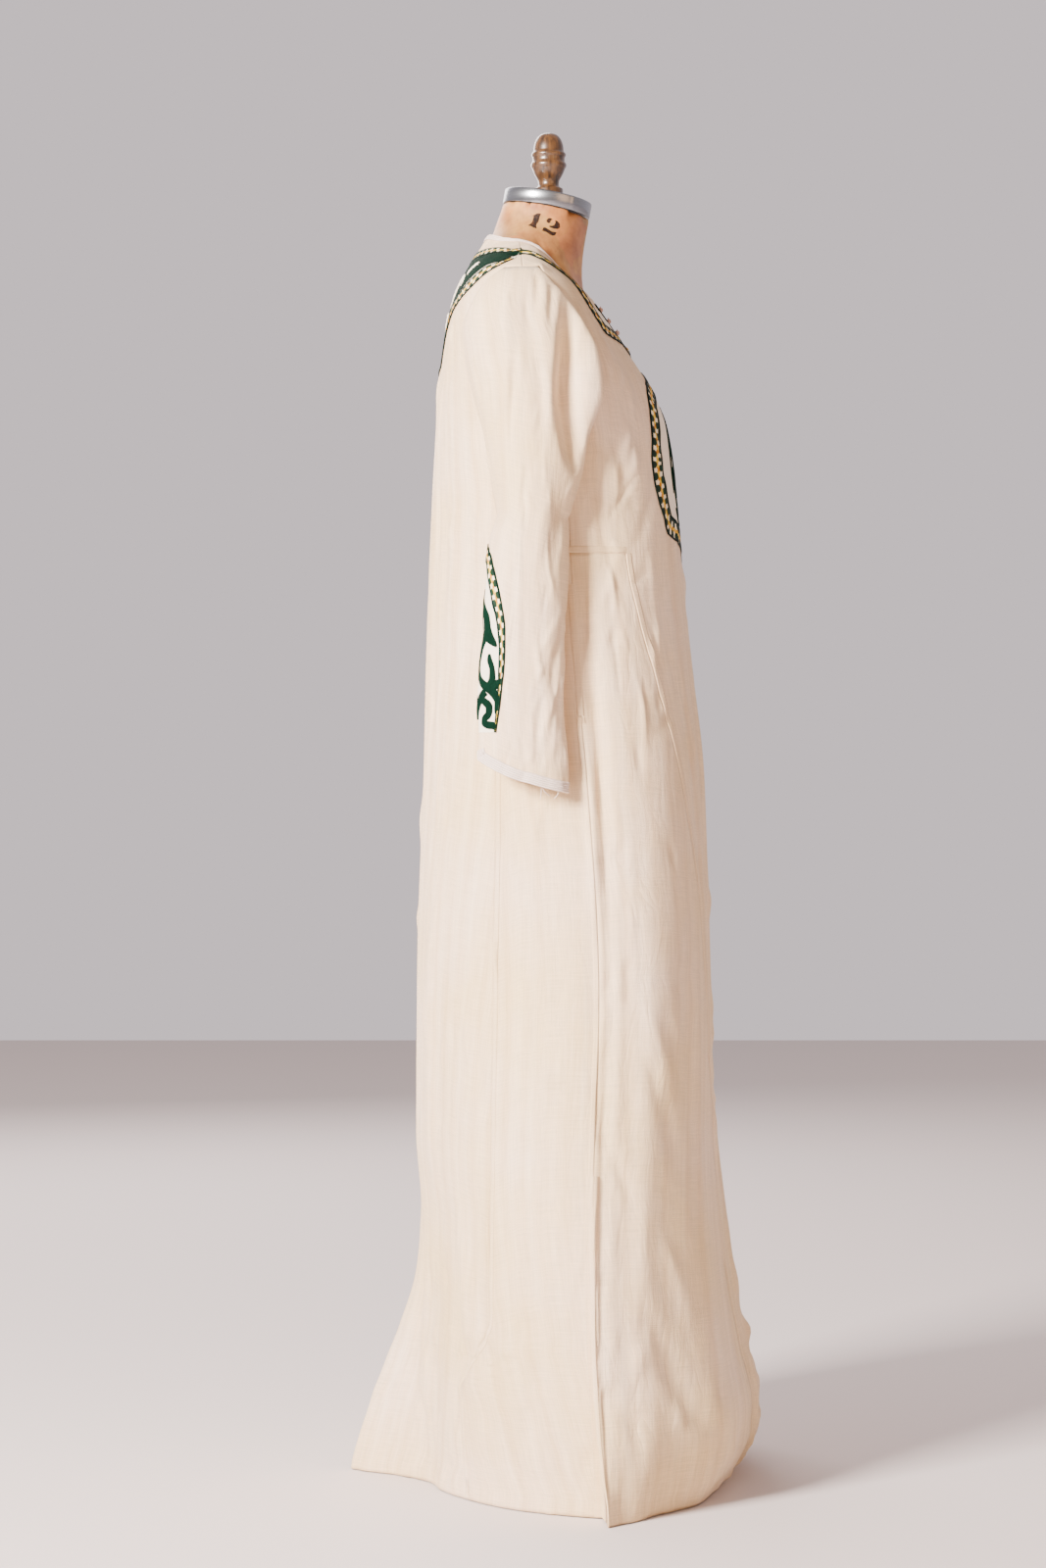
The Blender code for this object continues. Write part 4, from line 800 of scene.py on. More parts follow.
def body_relief(angle, z, points, normals):
    """How far the cloth stands off the plain surface: creases, wrinkles, the side seams'
    ridge with a trough in front of it, and the hem's turn-up with its stitching's puckers."""
    wrapped = (np.asarray(angle, float) + 180) % 360 - 180
    height = placed_creases(points, normals) + fine_wrinkles.at(points) + hem_wrinkles.at(points)
    slow = np.sin(points[..., 0] * 31 + points[..., 2] * 9)
    slow = slow + np.sin(points[..., 1] * 27 - points[..., 2] * 13)
    height += 0.0006 * slow
    radius = np.hypot(points[..., 0], points[..., 1])
    ahead = (90 - np.abs(wrapped)) * math.pi / 180 * radius
    low = smoothstep((GORE_TOP_Z - z) / 0.1)
    uneven = 0.75 + 0.25 * np.sin(z * 21 + np.sign(wrapped)) * np.sin(z * 47)
    ridge = SIDE_SEAM_RIDGE * np.exp(-((ahead / 0.005) ** 2))
    beyond = ahead - 0.0125
    trough = SIDE_SEAM_TROUGH * np.exp(-((beyond / np.where(beyond < 0, 0.0045, 0.0120)) ** 2))
    height += low * uneven * (ridge - trough * smoothstep((z - 0.02) / 0.1))
    way = np.arctan2(points[..., 1], points[..., 0])
    at_stitches = np.exp(-(((z - HEM_TURN_UP) / 0.0035) ** 2))
    puckers = np.sin(way * 190 + 2 * np.sin(way * 23)) * np.exp(-(((z - HEM_TURN_UP) / 0.010) ** 2))
    height += 0.0004 * (z < HEM_TURN_UP) - 0.0006 * at_stitches + HEM_PUCKER * puckers
    # Over the form's shoulders and chest the cloth lies close to it
    room = 0.0004 + 0.012 * smoothstep((1.17 - z) / 0.12)
    return np.maximum(height, -room)


def skin(angle, z, lift=0.0):
    """Points over the finished cloth of the body."""
    angle, z = np.broadcast_arrays(np.asarray(angle, float), np.asarray(z, float))
    plain, normals = body(angle, z), body_normal(angle, z)
    height = body_relief(angle, z, plain, normals) + lift
    moved = plain + normals * height[..., None]
    moved[..., 2] = np.maximum(moved[..., 2], HEM_Z)
    return moved


def mesh_piece(name, points, faces, uv=None, uv_name="cut"):
    """A smooth mesh of points and quads, with a UV map in metres."""
    data = bpy.data.meshes.new(name)
    data.from_pydata(points.tolist(), [], faces.tolist())
    if uv is not None:
        layer = data.uv_layers.new(name=uv_name)
        layer.data.foreach_set("uv", uv[faces.ravel()].astype(np.float32).ravel())
    data.shade_smooth()
    piece = bpy.data.objects.new(name, data)
    bpy.context.scene.collection.objects.link(piece)
    return piece


def grid_faces(cells, is_ring=False):
    """The used points of a grid, and its cells' corners by their places among those."""
    rows, columns = np.nonzero(cells)
    width = cells.shape[1] + (0 if is_ring else 1)
    after = (columns + 1) % width
    low, high = rows * width, (rows + 1) * width
    corners = np.stack([low + columns, low + after, high + after, high + columns], axis=-1)
    used, faces = np.unique(corners, return_inverse=True)
    return used, faces.reshape(corners.shape)


def give_thickness(piece, thickness):
    """Thickens a cloth inwards from its outer face."""
    select_only(piece)
    wall = piece.modifiers.new("wall", "SOLIDIFY")
    wall.thickness = thickness
    wall.offset = -1
    wall.use_even_offset = False
    bpy.ops.object.modifier_apply(modifier="wall")


def cut_map(points, middle):
    """UV coordinates of a grid in metres: across from a column, and up from the hem."""
    across = np.linalg.norm(np.diff(points, axis=1), axis=-1)
    across = np.concatenate([np.zeros((len(points), 1)), np.cumsum(across, axis=1)], axis=1)
    across = across - across[:, middle : middle + 1]
    up = np.linalg.norm(np.diff(points, axis=0), axis=-1)
    up = np.concatenate([np.zeros((1, points.shape[1])), np.cumsum(up, axis=0)], axis=0)
    return np.stack([across, up], axis=-1)


body_rest = skin(body_angles, body_heights)
cell_row, cell_column = np.mgrid[0:NECK_ROW, 0 : 2 * CENTRE_BACK]
is_right = cell_column >= CENTRE_BACK
cell_place = np.where(is_right, cell_column - CENTRE_BACK, CENTRE_BACK - 1 - cell_column)
window = (cell_place >= SIDE) & (cell_place < BACK_SEAM)
gore = (cell_place >= FRONT_SEAM) & (cell_place < SIDE) & (cell_row < GORE_ROW)
shoulder = window & (cell_row >= LEVEL_ROW)


def turned(grid):
    """A grid of the body turned so that the centre back lies in its middle."""
    return np.concatenate([grid[:, CENTRE_BACK:], grid[:, 1 : CENTRE_BACK + 1]], axis=1)


def turned_cells(cells):
    return np.concatenate([cells[:, CENTRE_BACK:], cells[:, :CENTRE_BACK]], axis=1)


def body_cloth(name, cells, points, middle, finish, nodes, **cut):
    """One cut piece of the body, thickened, in the frame. Its cut sizes are not used."""
    used, faces = grid_faces(cells)
    uv = cut_map(points, middle).reshape(-1, 2)[used]
    piece = mesh_piece(name, points.reshape(-1, 3)[used], faces[:, ::-1], uv)
    give_thickness(piece, CLOTH)
    wear_material(piece, finish)
    finish_piece(piece, "cloth", *nodes)
    return piece


# Plain-weave cotton: unbleached cream, dull and dry, with thick and thin yarns both ways. Its
# real threads are 0.5 mm apart, too fine to show, so the weave is drawn at 1.1 mm.
THREAD = 0.0011


def cotton_material(name):
    made, tree, shader = new_material(name, 0.86, Sheen_Weight=0.12, Sheen_Roughness=0.5)
    flat = node(tree, "UVMap", uv_map="cut").outputs[0]
    place = node(tree, "TexCoord").outputs["Object"]
    warp = node(tree, "Mapping", {"Vector": flat, "Scale": (820, 26, 1)})
    weft = node(tree, "Mapping", {"Vector": flat, "Scale": (30, 760, 1)})
    warp_slubs = node(tree, "TexNoise", {"Vector": warp.outputs[0], "Scale": 1.0, "Detail": 2.0})
    weft_slubs = node(tree, "TexNoise", {"Vector": weft.outputs[0], "Scale": 1.0, "Detail": 2.0})
    yarns = node(tree, "Math", {0: warp_slubs.outputs["Fac"], 1: weft_slubs.outputs["Fac"]}, operation="ADD")
    ways = node(tree, "SeparateXYZ", {0: flat})
    waves = []
    for way in ("X", "Y"):
        turns = node(tree, "Math", {0: ways.outputs[way], 1: 2 * math.pi / THREAD}, operation="MULTIPLY")
        waves.append(node(tree, "Math", {0: turns.outputs[0]}, operation="SINE"))
    weave = node(tree, "Math", {0: waves[0].outputs[0], 1: waves[1].outputs[0]}, operation="MULTIPLY")
    fine = node(tree, "Math", {0: weave.outputs[0], 1: 0.25, 2: yarns.outputs[0]}, operation="MULTIPLY_ADD")
    cloudy = node(tree, "TexNoise", {"Vector": place, "Scale": 5.0, "Detail": 4.0, "Roughness": 0.6})
    tone = node(tree, "ValToRGB", {0: cloudy.outputs["Fac"]})
    tone.color_ramp.elements[0].position = 0.34
    tone.color_ramp.elements[0].color = colour("#e8cd9f")
    tone.color_ramp.elements[1].position = 0.66
    tone.color_ramp.elements[1].color = colour("#eed6bd")
    streaks = node(tree, "Mapping", {"Vector": flat, "Scale": (74, 1.6, 1)})
    streak = node(tree, "TexNoise", {"Vector": streaks.outputs[0], "Scale": 1.0, "Detail": 3.0})
    streaky = node(tree, "MapRange", {0: streak.outputs["Fac"], 1: 0.34, 2: 0.66})
    faded = node(tree, "MixRGB", {0: streaky.outputs[0], 1: (0.88, 0.83, 0.76, 1), 2: (1, 1, 1, 1)})
    worn = node(tree, "MixRGB", {0: 1.0, 1: tone.outputs[0], 2: faded.outputs[0]}, blend_type="MULTIPLY")
    slub_tone = node(tree, "MapRange", {0: yarns.outputs[0], 1: 0.7, 2: 1.3, 3: 0.86, 4: 1.09})
    thready = node(tree, "VectorMath", {0: worn.outputs[0], "Scale": slub_tone.outputs[0]}, operation="SCALE")
    last = thready.outputs[0]
    blurred = node(tree, "TexNoise", {"Vector": place, "Scale": 90.0, "Detail": 3.0})
    for spot, size, strength, tint in SPOTS:
        away = node(tree, "VectorMath", {0: place, 1: spot}, operation="DISTANCE")
        uneven = node(
            tree, "Math", {0: blurred.outputs["Fac"], 1: size * 1.6, 2: away.outputs["Value"]},
            operation="MULTIPLY_ADD",
        )
        mark = node(
            tree, "MapRange", {0: uneven.outputs[0], 1: size * 1.9, 2: size * 0.8, 3: 0.0, 4: strength}
        )
        last = node(tree, "MixRGB", {0: mark.outputs[0], 1: last, 2: colour(tint)}).outputs[0]
    tree.links.new(last, shader.inputs["Base Color"])
    bump = node(tree, "Bump", {"Strength": 0.55, "Distance": 0.00035, "Height": fine.outputs[0]})
    # Washed and never pressed: a fine crumple, drawn out along the warp
    drawn = node(tree, "Mapping", {"Vector": flat, "Scale": (46, 13, 1)})
    crumple = node(
        tree, "TexNoise", {"Vector": drawn.outputs[0], "Scale": 1.0, "Detail": 3.0, "Distortion": 0.5}
    )
    sharp = node(tree, "Math", {0: crumple.outputs["Fac"], 1: 0.5}, operation="SUBTRACT")
    folds = node(tree, "Math", {0: sharp.outputs[0]}, operation="ABSOLUTE")
    crumpled = node(tree, "Bump", {
        "Strength": 0.6, "Distance": 0.0042, "Height": folds.outputs[0], "Normal": bump.outputs[0],
    })
    feed(crumpled, shader, "Normal")
    return made


SPOTS = (
    ((-0.050, 0.132, 0.469), 0.0035, 0.75, "#5c4a38"),
    ((-0.262, -0.002, 0.454), 0.0130, 0.30, "#b39a74"),
    ((-0.268, -0.083, 0.340), 0.0030, 0.75, "#4c3d30"),
    ((-0.275, -0.024, 0.297), 0.0030, 0.70, "#64513f"),
    ((-0.215, 0.094, 1.207), 0.0026, 0.70, "#6e6158"),
)
cotton = cotton_material("plain_weave_cotton")

back_cells = (cell_place >= BACK_SEAM) | (window & (cell_row >= GORE_ROW) & (cell_row < UNDERARM_ROW))
back_cells = back_cells | (shoulder & (cell_place >= SHOULDER))
body_cloth(
    "back_panel_cloth", turned_cells(back_cells), turned(body_rest), CENTRE_BACK, cotton, ["back_panel"],
    flat=(0.527, 1.499), held="draped", area=0.601,
)

# Front panel, one length of the same cotton, tapering to a narrow hem, with the neck slit cut
# down its centre and both armholes cut into its sides
neck_slit = (cell_place < SLIT) & (cell_row >= LEVEL_ROW)
front_cells = ((cell_place < SIDE) & ~gore & ~neck_slit) | (shoulder & (cell_place < SHOULDER))
body_cloth(
    "front_panel_cloth", front_cells, body_rest, CENTRE_BACK, cotton, ["front_panel"],
    flat=(0.485, 1.472), held="draped", area=0.399,
)

# Gores, four long wedges that widen the skirt from a level seam under each arm. The pocket
# slit lies in each side seam, and each side is open from below the knee to the hem.
grid_row = np.arange(NECK_ROW + 1)[:, None]
from_front = np.abs(np.arange(2 * CENTRE_BACK + 1) - CENTRE_BACK)[None, :]
at_pocket = (grid_row > POCKET_END_ROW) & (grid_row < POCKET_TOP_ROW) & (from_front == SIDE)
pocket_share = np.sin(math.pi * (grid_row - POCKET_END_ROW) / (POCKET_TOP_ROW - POCKET_END_ROW))
metres_per_degree = math.pi / 180 * 0.18
pocket_turn = POCKET_HALF / metres_per_degree * np.clip(pocket_share, 0, 1) * at_pocket
gore_cut = {"front": (0.337, 1.054, 0.2135), "back": (0.236, 1.053, 0.134)}
for side, on_side, sign in (("right", is_right, 1), ("left", ~is_right, -1)):
    for face, cells, way in (("front", gore, -1), ("back", window & (cell_row < GORE_ROW), 1)):
        angles = body_angles + sign * way * pocket_turn
        points = skin(angles, body_heights)
        middle = CENTRE_BACK + sign * SIDE
        body_cloth(
            f"{face}_gore_{side}_cloth", cells & on_side, points, middle, cotton, [f"{face}_gore_{side}"],
            flat=gore_cut[face][:2], held="draped", area=gore_cut[face][2],
        )

# Sleeves, one cut each, set in with a full cap that folds over the front of the armhole. They
# hang a little forward, empty, and end in a slanting cuff with a short vent at the back fold.
SLEEVE_POWER = 2.3
SLEEVE_FOLD_POWER = 1.65
OVERHANG_TURN = 155
OVERHANG_WIDTH = 22
OVERHANG_EASE = 12
TROUGH_WALL = 0.0055
TROUGH_SLOPE = 0.021
TROUGH_SHIFT = -0.0045
CUFF_BACK_Z = 0.800
CUFF_FRONT_Z = 0.764
CUFF_VENT = 0.012
CUFF_VENT_TURN = 14
CUFF_SAG = 0.006
CUFF_BRAID = 0.012
ARMHOLE_LAP = 0.0010
CAP_COLUMNS = ("z", "out_x", "overhang", "trough_y", "trough")
CAP_ROWS = (
    (1.065, 0.2290, 0.004, -0.012, 0.000),
    (1.095, 0.2295, 0.008, -0.024, 0.005),
    (1.132, 0.2300, 0.011, -0.013, 0.020),
    (1.195, 0.2290, 0.016, -0.004, 0.028),
    (1.240, 0.2260, 0.014, -0.007, 0.025),
    (1.273, 0.2220, 0.010, -0.009, 0.017),
    (1.305, 0.2120, 0.004, -0.012, 0.007),
    (1.322, 0.2000, 0.000, -0.010, 0.002),
    (1.334, 0.1850, 0.000, -0.010, 0.000),
)
SLEEVE_COLUMNS = ("z", "back_y", "back_x", "front_y", "front_x", "out_x", "in_x")
SLEEVE_ROWS = (
    (0.760, 0.0807, 0.2240, -0.0180, 0.2240, 0.2440, 0.2090),
    (0.790, 0.0807, 0.2220, -0.0175, 0.2220, 0.2420, 0.2070),
    (0.860, 0.0798, 0.2140, -0.0120, 0.2140, 0.2370, 0.1990),
    (0.930, 0.0752, 0.2070, -0.0130, 0.2070, 0.2320, 0.1920),
    (1.000, 0.0710, 0.1960, -0.0175, 0.1970, 0.2290, 0.1860),
    (1.035, 0.0680, 0.1820, -0.0185, 0.1850, 0.2290, 0.1820),
    (1.065, 0.0590, 0.1620, -0.0170, 0.1745, 0.2290, 0.1800),
)


def armhole_edge(column, z):
    """The sleeve's edge along the armhole, lapped over the panel's edge."""
    level = np.clip(z, UNDERARM_Z, ARMHOLE_TOP_Z)
    angle = angle_at_y(read(ARMHOLE_ROWS, column, level), level)
    return body(angle, level) + ARMHOLE_LAP * body_normal(angle, level)


def sleeve(turn, z):
    """The outer face of the right sleeve. It goes round from 0 at the back fold by way of
    the outer side to 180 at the front fold, and by the inner side back to 360."""
    turn, z = np.broadcast_arrays(np.asarray(turn, float), np.asarray(z, float))
    turn = turn % 360
    low = {name: read(SLEEVE_ROWS, i, z) for i, name in enumerate(SLEEVE_COLUMNS) if i}
    high = {name: read(CAP_ROWS, i, z) for i, name in enumerate(CAP_COLUMNS) if i}
    back_edge, front_edge = armhole_edge(2, z), armhole_edge(1, z)
    above = z >= UNDERARM_Z
    back_y = np.where(above, back_edge[..., 1], low["back_y"])
    back_x = np.where(above, -back_edge[..., 0], low["back_x"])
    front_y = np.where(above, front_edge[..., 1], low["front_y"])
    front_x = np.where(above, -front_edge[..., 0], low["front_x"])
    out_x = np.where(above, high["out_x"], low["out_x"])
    radians = np.radians(turn)
    cosine, sine = np.cos(radians), np.sin(radians)
    share = (1 - np.sign(cosine) * np.abs(cosine) ** (2 / SLEEVE_POWER)) / 2
    y = back_y + (front_y - back_y) * share
    edge_x = back_x + (front_x - back_x) * share
    flatness = smoothstep((UNDERARM_Z - z) / 0.05)
    reach = np.abs(sine) ** (2 / (SLEEVE_POWER + (SLEEVE_FOLD_POWER - SLEEVE_POWER) * flatness))
    x = np.where(sine >= 0, edge_x + (out_x - edge_x) * reach, edge_x + (low["in_x"] - edge_x) * reach)
    is_outer = (turn >= 0) & (turn <= 180)
    overhang = np.where(above & is_outer, high["overhang"], 0)
    bulge = np.exp(-(((turn - OVERHANG_TURN) / OVERHANG_WIDTH) ** 2))
    y = y - overhang * bulge * np.clip((180 - turn) / OVERHANG_EASE, 0, 1)
    from_trough = y - high["trough_y"] - TROUGH_SHIFT
    steep = np.where(from_trough > 0, TROUGH_WALL, TROUGH_SLOPE)
    trough = high["trough"] * np.exp(-((from_trough / steep) ** 2))
    x = x - np.where(is_outer, trough * np.abs(sine), 0)
    return np.stack([-x, y, z], axis=-1)


def sleeve_normal(turn, z):
    """The sleeve's outward normal. Its turns run the other way from the body's, and above the
    underarm it ends at the armhole's edges."""
    turn = turn % 360
    above, is_outer = z >= UNDERARM_Z, turn <= 180
    low = np.where(above, np.where(is_outer, 0, 180), -20)
    high = np.where(above, np.where(is_outer, 180, 359.9), 380)
    return -outward(sleeve, turn, z, 2.0, (low, high))


def cuff_z(turn):
    """The cuff's edge: lower at the front, with a short vent at the back fold."""
    share = (1 - np.cos(np.radians(turn))) / 2
    edge = CUFF_BACK_Z + (CUFF_FRONT_Z - CUFF_BACK_Z) * share - CUFF_SAG * np.sin(np.radians(turn)) ** 2
    return edge + CUFF_VENT * np.clip(1 - np.abs((turn + 180) % 360 - 180) / CUFF_VENT_TURN, 0, 1)


# Creases of the sleeve, from one place to another as y and z on its outer side: the cap's
# gathered pleats, the long press line, and small wrinkles above the cuff
SLEEVE_CREASE_ROWS = (
    (0.016, 1.334, 0.020, 1.270, 0.0035, -0.0022, 0.001),
    (0.008, 1.330, 0.010, 1.250, 0.0030, 0.0016, 0.001),
    (0.000, 1.322, 0.002, 1.262, 0.0030, -0.0018, 0.000),
    (0.030, 1.325, 0.026, 1.210, 0.0060, -0.0016, 0.003),
    (0.022, 1.300, 0.014, 1.120, 0.0070, -0.0020, 0.003),
    (0.044, 1.310, 0.050, 1.150, 0.0080, 0.0014, -0.003),
    (0.060, 1.280, 0.066, 1.120, 0.0060, -0.0012, 0.002),
    (0.036, 1.200, 0.038, 0.830, 0.0035, 0.0009, 0.001),
    (-0.012, 1.080, 0.006, 1.010, 0.0060, -0.0020, 0.002),
    (0.000, 1.100, 0.020, 0.990, 0.0060, 0.0014, -0.002),
    (-0.010, 0.960, 0.010, 0.900, 0.0045, 0.0014, 0.002),
    (-0.006, 0.930, 0.008, 0.860, 0.0040, -0.0014, 0.002),
    (0.004, 0.900, 0.006, 0.820, 0.0040, 0.0014, 0.001),
    (-0.004, 0.860, 0.002, 0.792, 0.0035, 0.0014, 0.001),
    (0.012, 0.880, 0.020, 0.800, 0.0045, -0.0013, 0.002),
    (0.024, 0.860, 0.022, 0.790, 0.0040, 0.0010, 0.001),
    (0.034, 0.830, 0.030, 0.790, 0.0035, -0.0012, 0.000),
    (0.018, 0.812, 0.026, 0.796, 0.0030, 0.0012, 0.000),
    (0.010, 0.806, 0.014, 0.788, 0.0030, -0.0012, 0.000),
)
SLEEVE_TURNS_OUT = 96
SLEEVE_TURNS_IN = 50
BELOW_RUN = 60
sleeve_turns = np.concatenate(
    [np.linspace(0, 180, SLEEVE_TURNS_OUT + 1), np.linspace(180, 360, SLEEVE_TURNS_IN + 1)[1:-1]]
)
cap_run = body_heights[UNDERARM_ROW + 1 : LEVEL_ROW + 1, CENTRE_BACK + SIDE]
low_shares = np.linspace(0, 1, BELOW_RUN + 1)
sleeve_heights = np.array(
    [cuff_z(sleeve_turns) + share * (UNDERARM_Z - cuff_z(sleeve_turns)) for share in low_shares]
    + [np.full_like(sleeve_turns, z) for z in cap_run]
)
sleeve_grid_turns = np.broadcast_to(sleeve_turns, sleeve_heights.shape)
sleeve_cells = np.ones((len(sleeve_heights) - 1, len(sleeve_turns)), bool)
sleeve_cells[BELOW_RUN:, SLEEVE_TURNS_OUT:] = False
sleeve_plain = sleeve(sleeve_grid_turns, sleeve_heights)
sleeve_wrinkles = Wrinkles(21, sleeve_plain, 220, 0.11, 0.0046, 0.0021, 0.38)


def sleeve_relief(turn, z, points, normals):
    height = sleeve_wrinkles.at(points)
    facing = smoothstep((-normals[..., 0] - 0.1) / 0.4)
    for y_0, z_0, y_1, z_1, width, rise, bow in SLEEVE_CREASE_ROWS:
        along, side = along_line(points[..., 1], points[..., 2], (y_0, z_0), (y_1, z_1), bow)
        height += facing * rise * tapered(along) * crease_height(side, width)
    held = smoothstep((180 - np.abs(180 - turn % 360)) / 10) * smoothstep(np.abs(180 - turn % 360) / 10)
    return np.where(z > UNDERARM_Z, height * held, height)


def sleeve_skin(turn, z, lift=0.0):
    """Points over the finished cloth of the right sleeve."""
    turn, z = np.broadcast_arrays(np.asarray(turn, float), np.asarray(z, float))
    plain, normals = sleeve(turn, z), sleeve_normal(turn, z)
    return plain + normals * (sleeve_relief(turn, z, plain, normals) + lift)[..., None]


def mirrored(points, is_left):
    return points * ((-1, 1, 1) if is_left else (1, 1, 1))


sleeve_points = sleeve_skin(sleeve_grid_turns, sleeve_heights)
used, faces = grid_faces(sleeve_cells, True)
sleeve_uv = cut_map(sleeve_points, SLEEVE_TURNS_OUT // 2).reshape(-1, 2)[used]
for side in ("right", "left"):
    is_left = side == "left"
    points = mirrored(sleeve_points, is_left).reshape(-1, 3)[used]
    piece = mesh_piece(f"sleeve_{side}_cloth", points, faces[:, ::-1] if is_left else faces, sleeve_uv)
    give_thickness(piece, CLOTH)
    wear_material(piece, cotton)
    finish_piece(piece, "cloth", f"sleeve_{side}")

# Seams and hems. Every long seam is felled, its allowance turned under and held by two rows of
# stitches in pale cotton thread. The hem, the pockets and the side slits have one or two rows.
SEAM_ALLOWANCE = 0.0075
SEAM_RISE = 0.00045
STITCH_PITCH = 0.0036
STITCH_LENGTH = 0.0026
STITCH_HALF = 0.00028


def steps_along(points):
    """How far each point of a line is along it, in metres."""
    return np.concatenate([[0], np.cumsum(np.linalg.norm(np.diff(points, axis=0), axis=-1))])


def resampled(path, surface, pitch):
    """The same line on a surface, as evenly spaced places a set pitch apart."""
    path = np.asarray(path, float)
    share = np.linspace(0, 1, len(path))
    fine = np.linspace(0, 1, 40 * len(path))
    path = np.stack([np.interp(fine, share, path[:, i]) for i in (0, 1)], axis=-1)
    along = steps_along(surface(path[:, 0], path[:, 1]))
    count = max(2, int(round(along[-1] / pitch)) + 1)
    even = np.linspace(0, along[-1], count)
    return np.stack([np.interp(even, along, path[:, i]) for i in (0, 1)], axis=-1), even


TURNS_LEFT = {body: 1, sleeve: -1}


def beside(path, surface, distances, rise=0.0005, turn=0.3):
    """Places beside a line on a surface, each row at one distance, to the line's left as seen
    from outside. A row may have its own distance at each place."""
    path = np.asarray(path, float)
    here = surface(path[:, 0], path[:, 1])
    tangent = np.gradient(here, axis=0)
    tangent /= np.linalg.norm(tangent, axis=-1, keepdims=True)
    rows = []
    for distance in distances:
        distance = np.broadcast_to(np.asarray(distance, float), len(path))
        place = path.copy()
        count = max(1, int(np.ceil(np.abs(distance).max() / 0.003)))
        for _ in range(count):
            across = surface(place[:, 0] + turn, place[:, 1]) - surface(place[:, 0] - turn, place[:, 1])
            upward = surface(place[:, 0], place[:, 1] + rise) - surface(place[:, 0], place[:, 1] - rise)
            across, upward = across / (2 * turn), upward / (2 * rise)
            outside = np.cross(upward, across) * TURNS_LEFT[surface]
            outside /= np.linalg.norm(outside, axis=-1, keepdims=True)
            left = np.cross(outside, tangent)
            left /= np.linalg.norm(left, axis=-1, keepdims=True)
            aa, au, uu = (across**2).sum(-1), (across * upward).sum(-1), (upward**2).sum(-1)
            la, lu = (left * across).sum(-1), (left * upward).sum(-1)
            spread = aa * uu - au * au
            step = np.stack([la * uu - lu * au, lu * aa - la * au], axis=-1) / spread[:, None]
            place = place + step * (distance / count)[:, None]
        rows.append(place)
    return np.array(rows)


def strip_faces(rows, columns, offset=0):
    """Quads of a strip of rows by columns of points, facing out."""
    row, column = np.mgrid[0 : rows - 1, 0 : columns - 1]
    corner = (row * columns + column).ravel() + offset
    return np.stack([corner, corner + 1, corner + 1 + columns, corner + columns], axis=-1)


def edged(points, inward, thickness):
    """A strip's rows with its long edges turned down by a thickness, so that it has sides."""
    first, last = points[:1] - inward[:1] * thickness, points[-1:] - inward[-1:] * thickness
    return np.concatenate([first, points, last])


def stitches_on(points, normals, pitch=STITCH_PITCH, length=STITCH_LENGTH, half=STITCH_HALF):
    """Small raised stitches along a line of points: a lozenge of thread for each."""
    along = steps_along(points)
    middles = np.arange(pitch / 2, along[-1] - pitch / 2, pitch)
    shapes = []
    for shift in (-length / 2, 0, length / 2):
        at = middles + shift
        shapes.append(np.stack([np.interp(at, along, points[:, i]) for i in range(3)], axis=-1))
    up = np.stack([np.interp(middles, along, normals[:, i]) for i in range(3)], axis=-1)
    ahead = shapes[2] - shapes[0]
    side = np.cross(up, ahead)
    side /= np.linalg.norm(side, axis=-1, keepdims=True)
    start, middle, end = shapes
    left, right, top = middle - side * half, middle + side * half, middle + up * half * 1.3
    vertices = np.stack([start, right, end, left, top], axis=1)
    faces = np.array([(0, 3, 4), (3, 2, 4), (2, 1, 4), (1, 0, 4)])
    offsets = np.arange(len(middles))[:, None, None] * 5
    return vertices.reshape(-1, 3), (faces[None] + offsets).reshape(-1, 3)


def joined(name, parts, uv_name=None):
    """One mesh from parts of points, faces, a material's place and UV coordinates."""
    vertices, polygons, places, coordinates = [], [], [], []
    offset = 0
    for part in parts:
        points, faces = np.asarray(part[0]).reshape(-1, 3), np.asarray(part[1])
        vertices.append(points)
        polygons += (faces + offset).tolist()
        places += [part[2] if len(part) > 2 else 0] * len(faces)
        if uv_name:
            uv = np.asarray(part[3]).reshape(-1, 2) if len(part) > 3 else points[:, :2]
            coordinates.append(uv)
        offset += len(points)
    data = bpy.data.meshes.new(name)
    data.from_pydata(np.concatenate(vertices).tolist(), [], polygons)
    data.polygons.foreach_set("material_index", places)
    if uv_name:
        layer = data.uv_layers.new(name=uv_name)
        corners = np.fromiter((c for face in polygons for c in face), int)
        layer.data.foreach_set("uv", np.concatenate(coordinates)[corners].astype(np.float32).ravel())
    data.shade_smooth()
    piece = bpy.data.objects.new(name, data)
    bpy.context.scene.collection.objects.link(piece)
    return piece


def normals_of(points):
    """Outward normals of a grid of points, its rows one way and its columns the other."""
    along, across = np.gradient(points, axis=1), np.gradient(points, axis=0)
    normal = np.cross(along, across)
    length = np.linalg.norm(normal, axis=-1, keepdims=True)
    return normal / np.where(length > 0, length, 1)


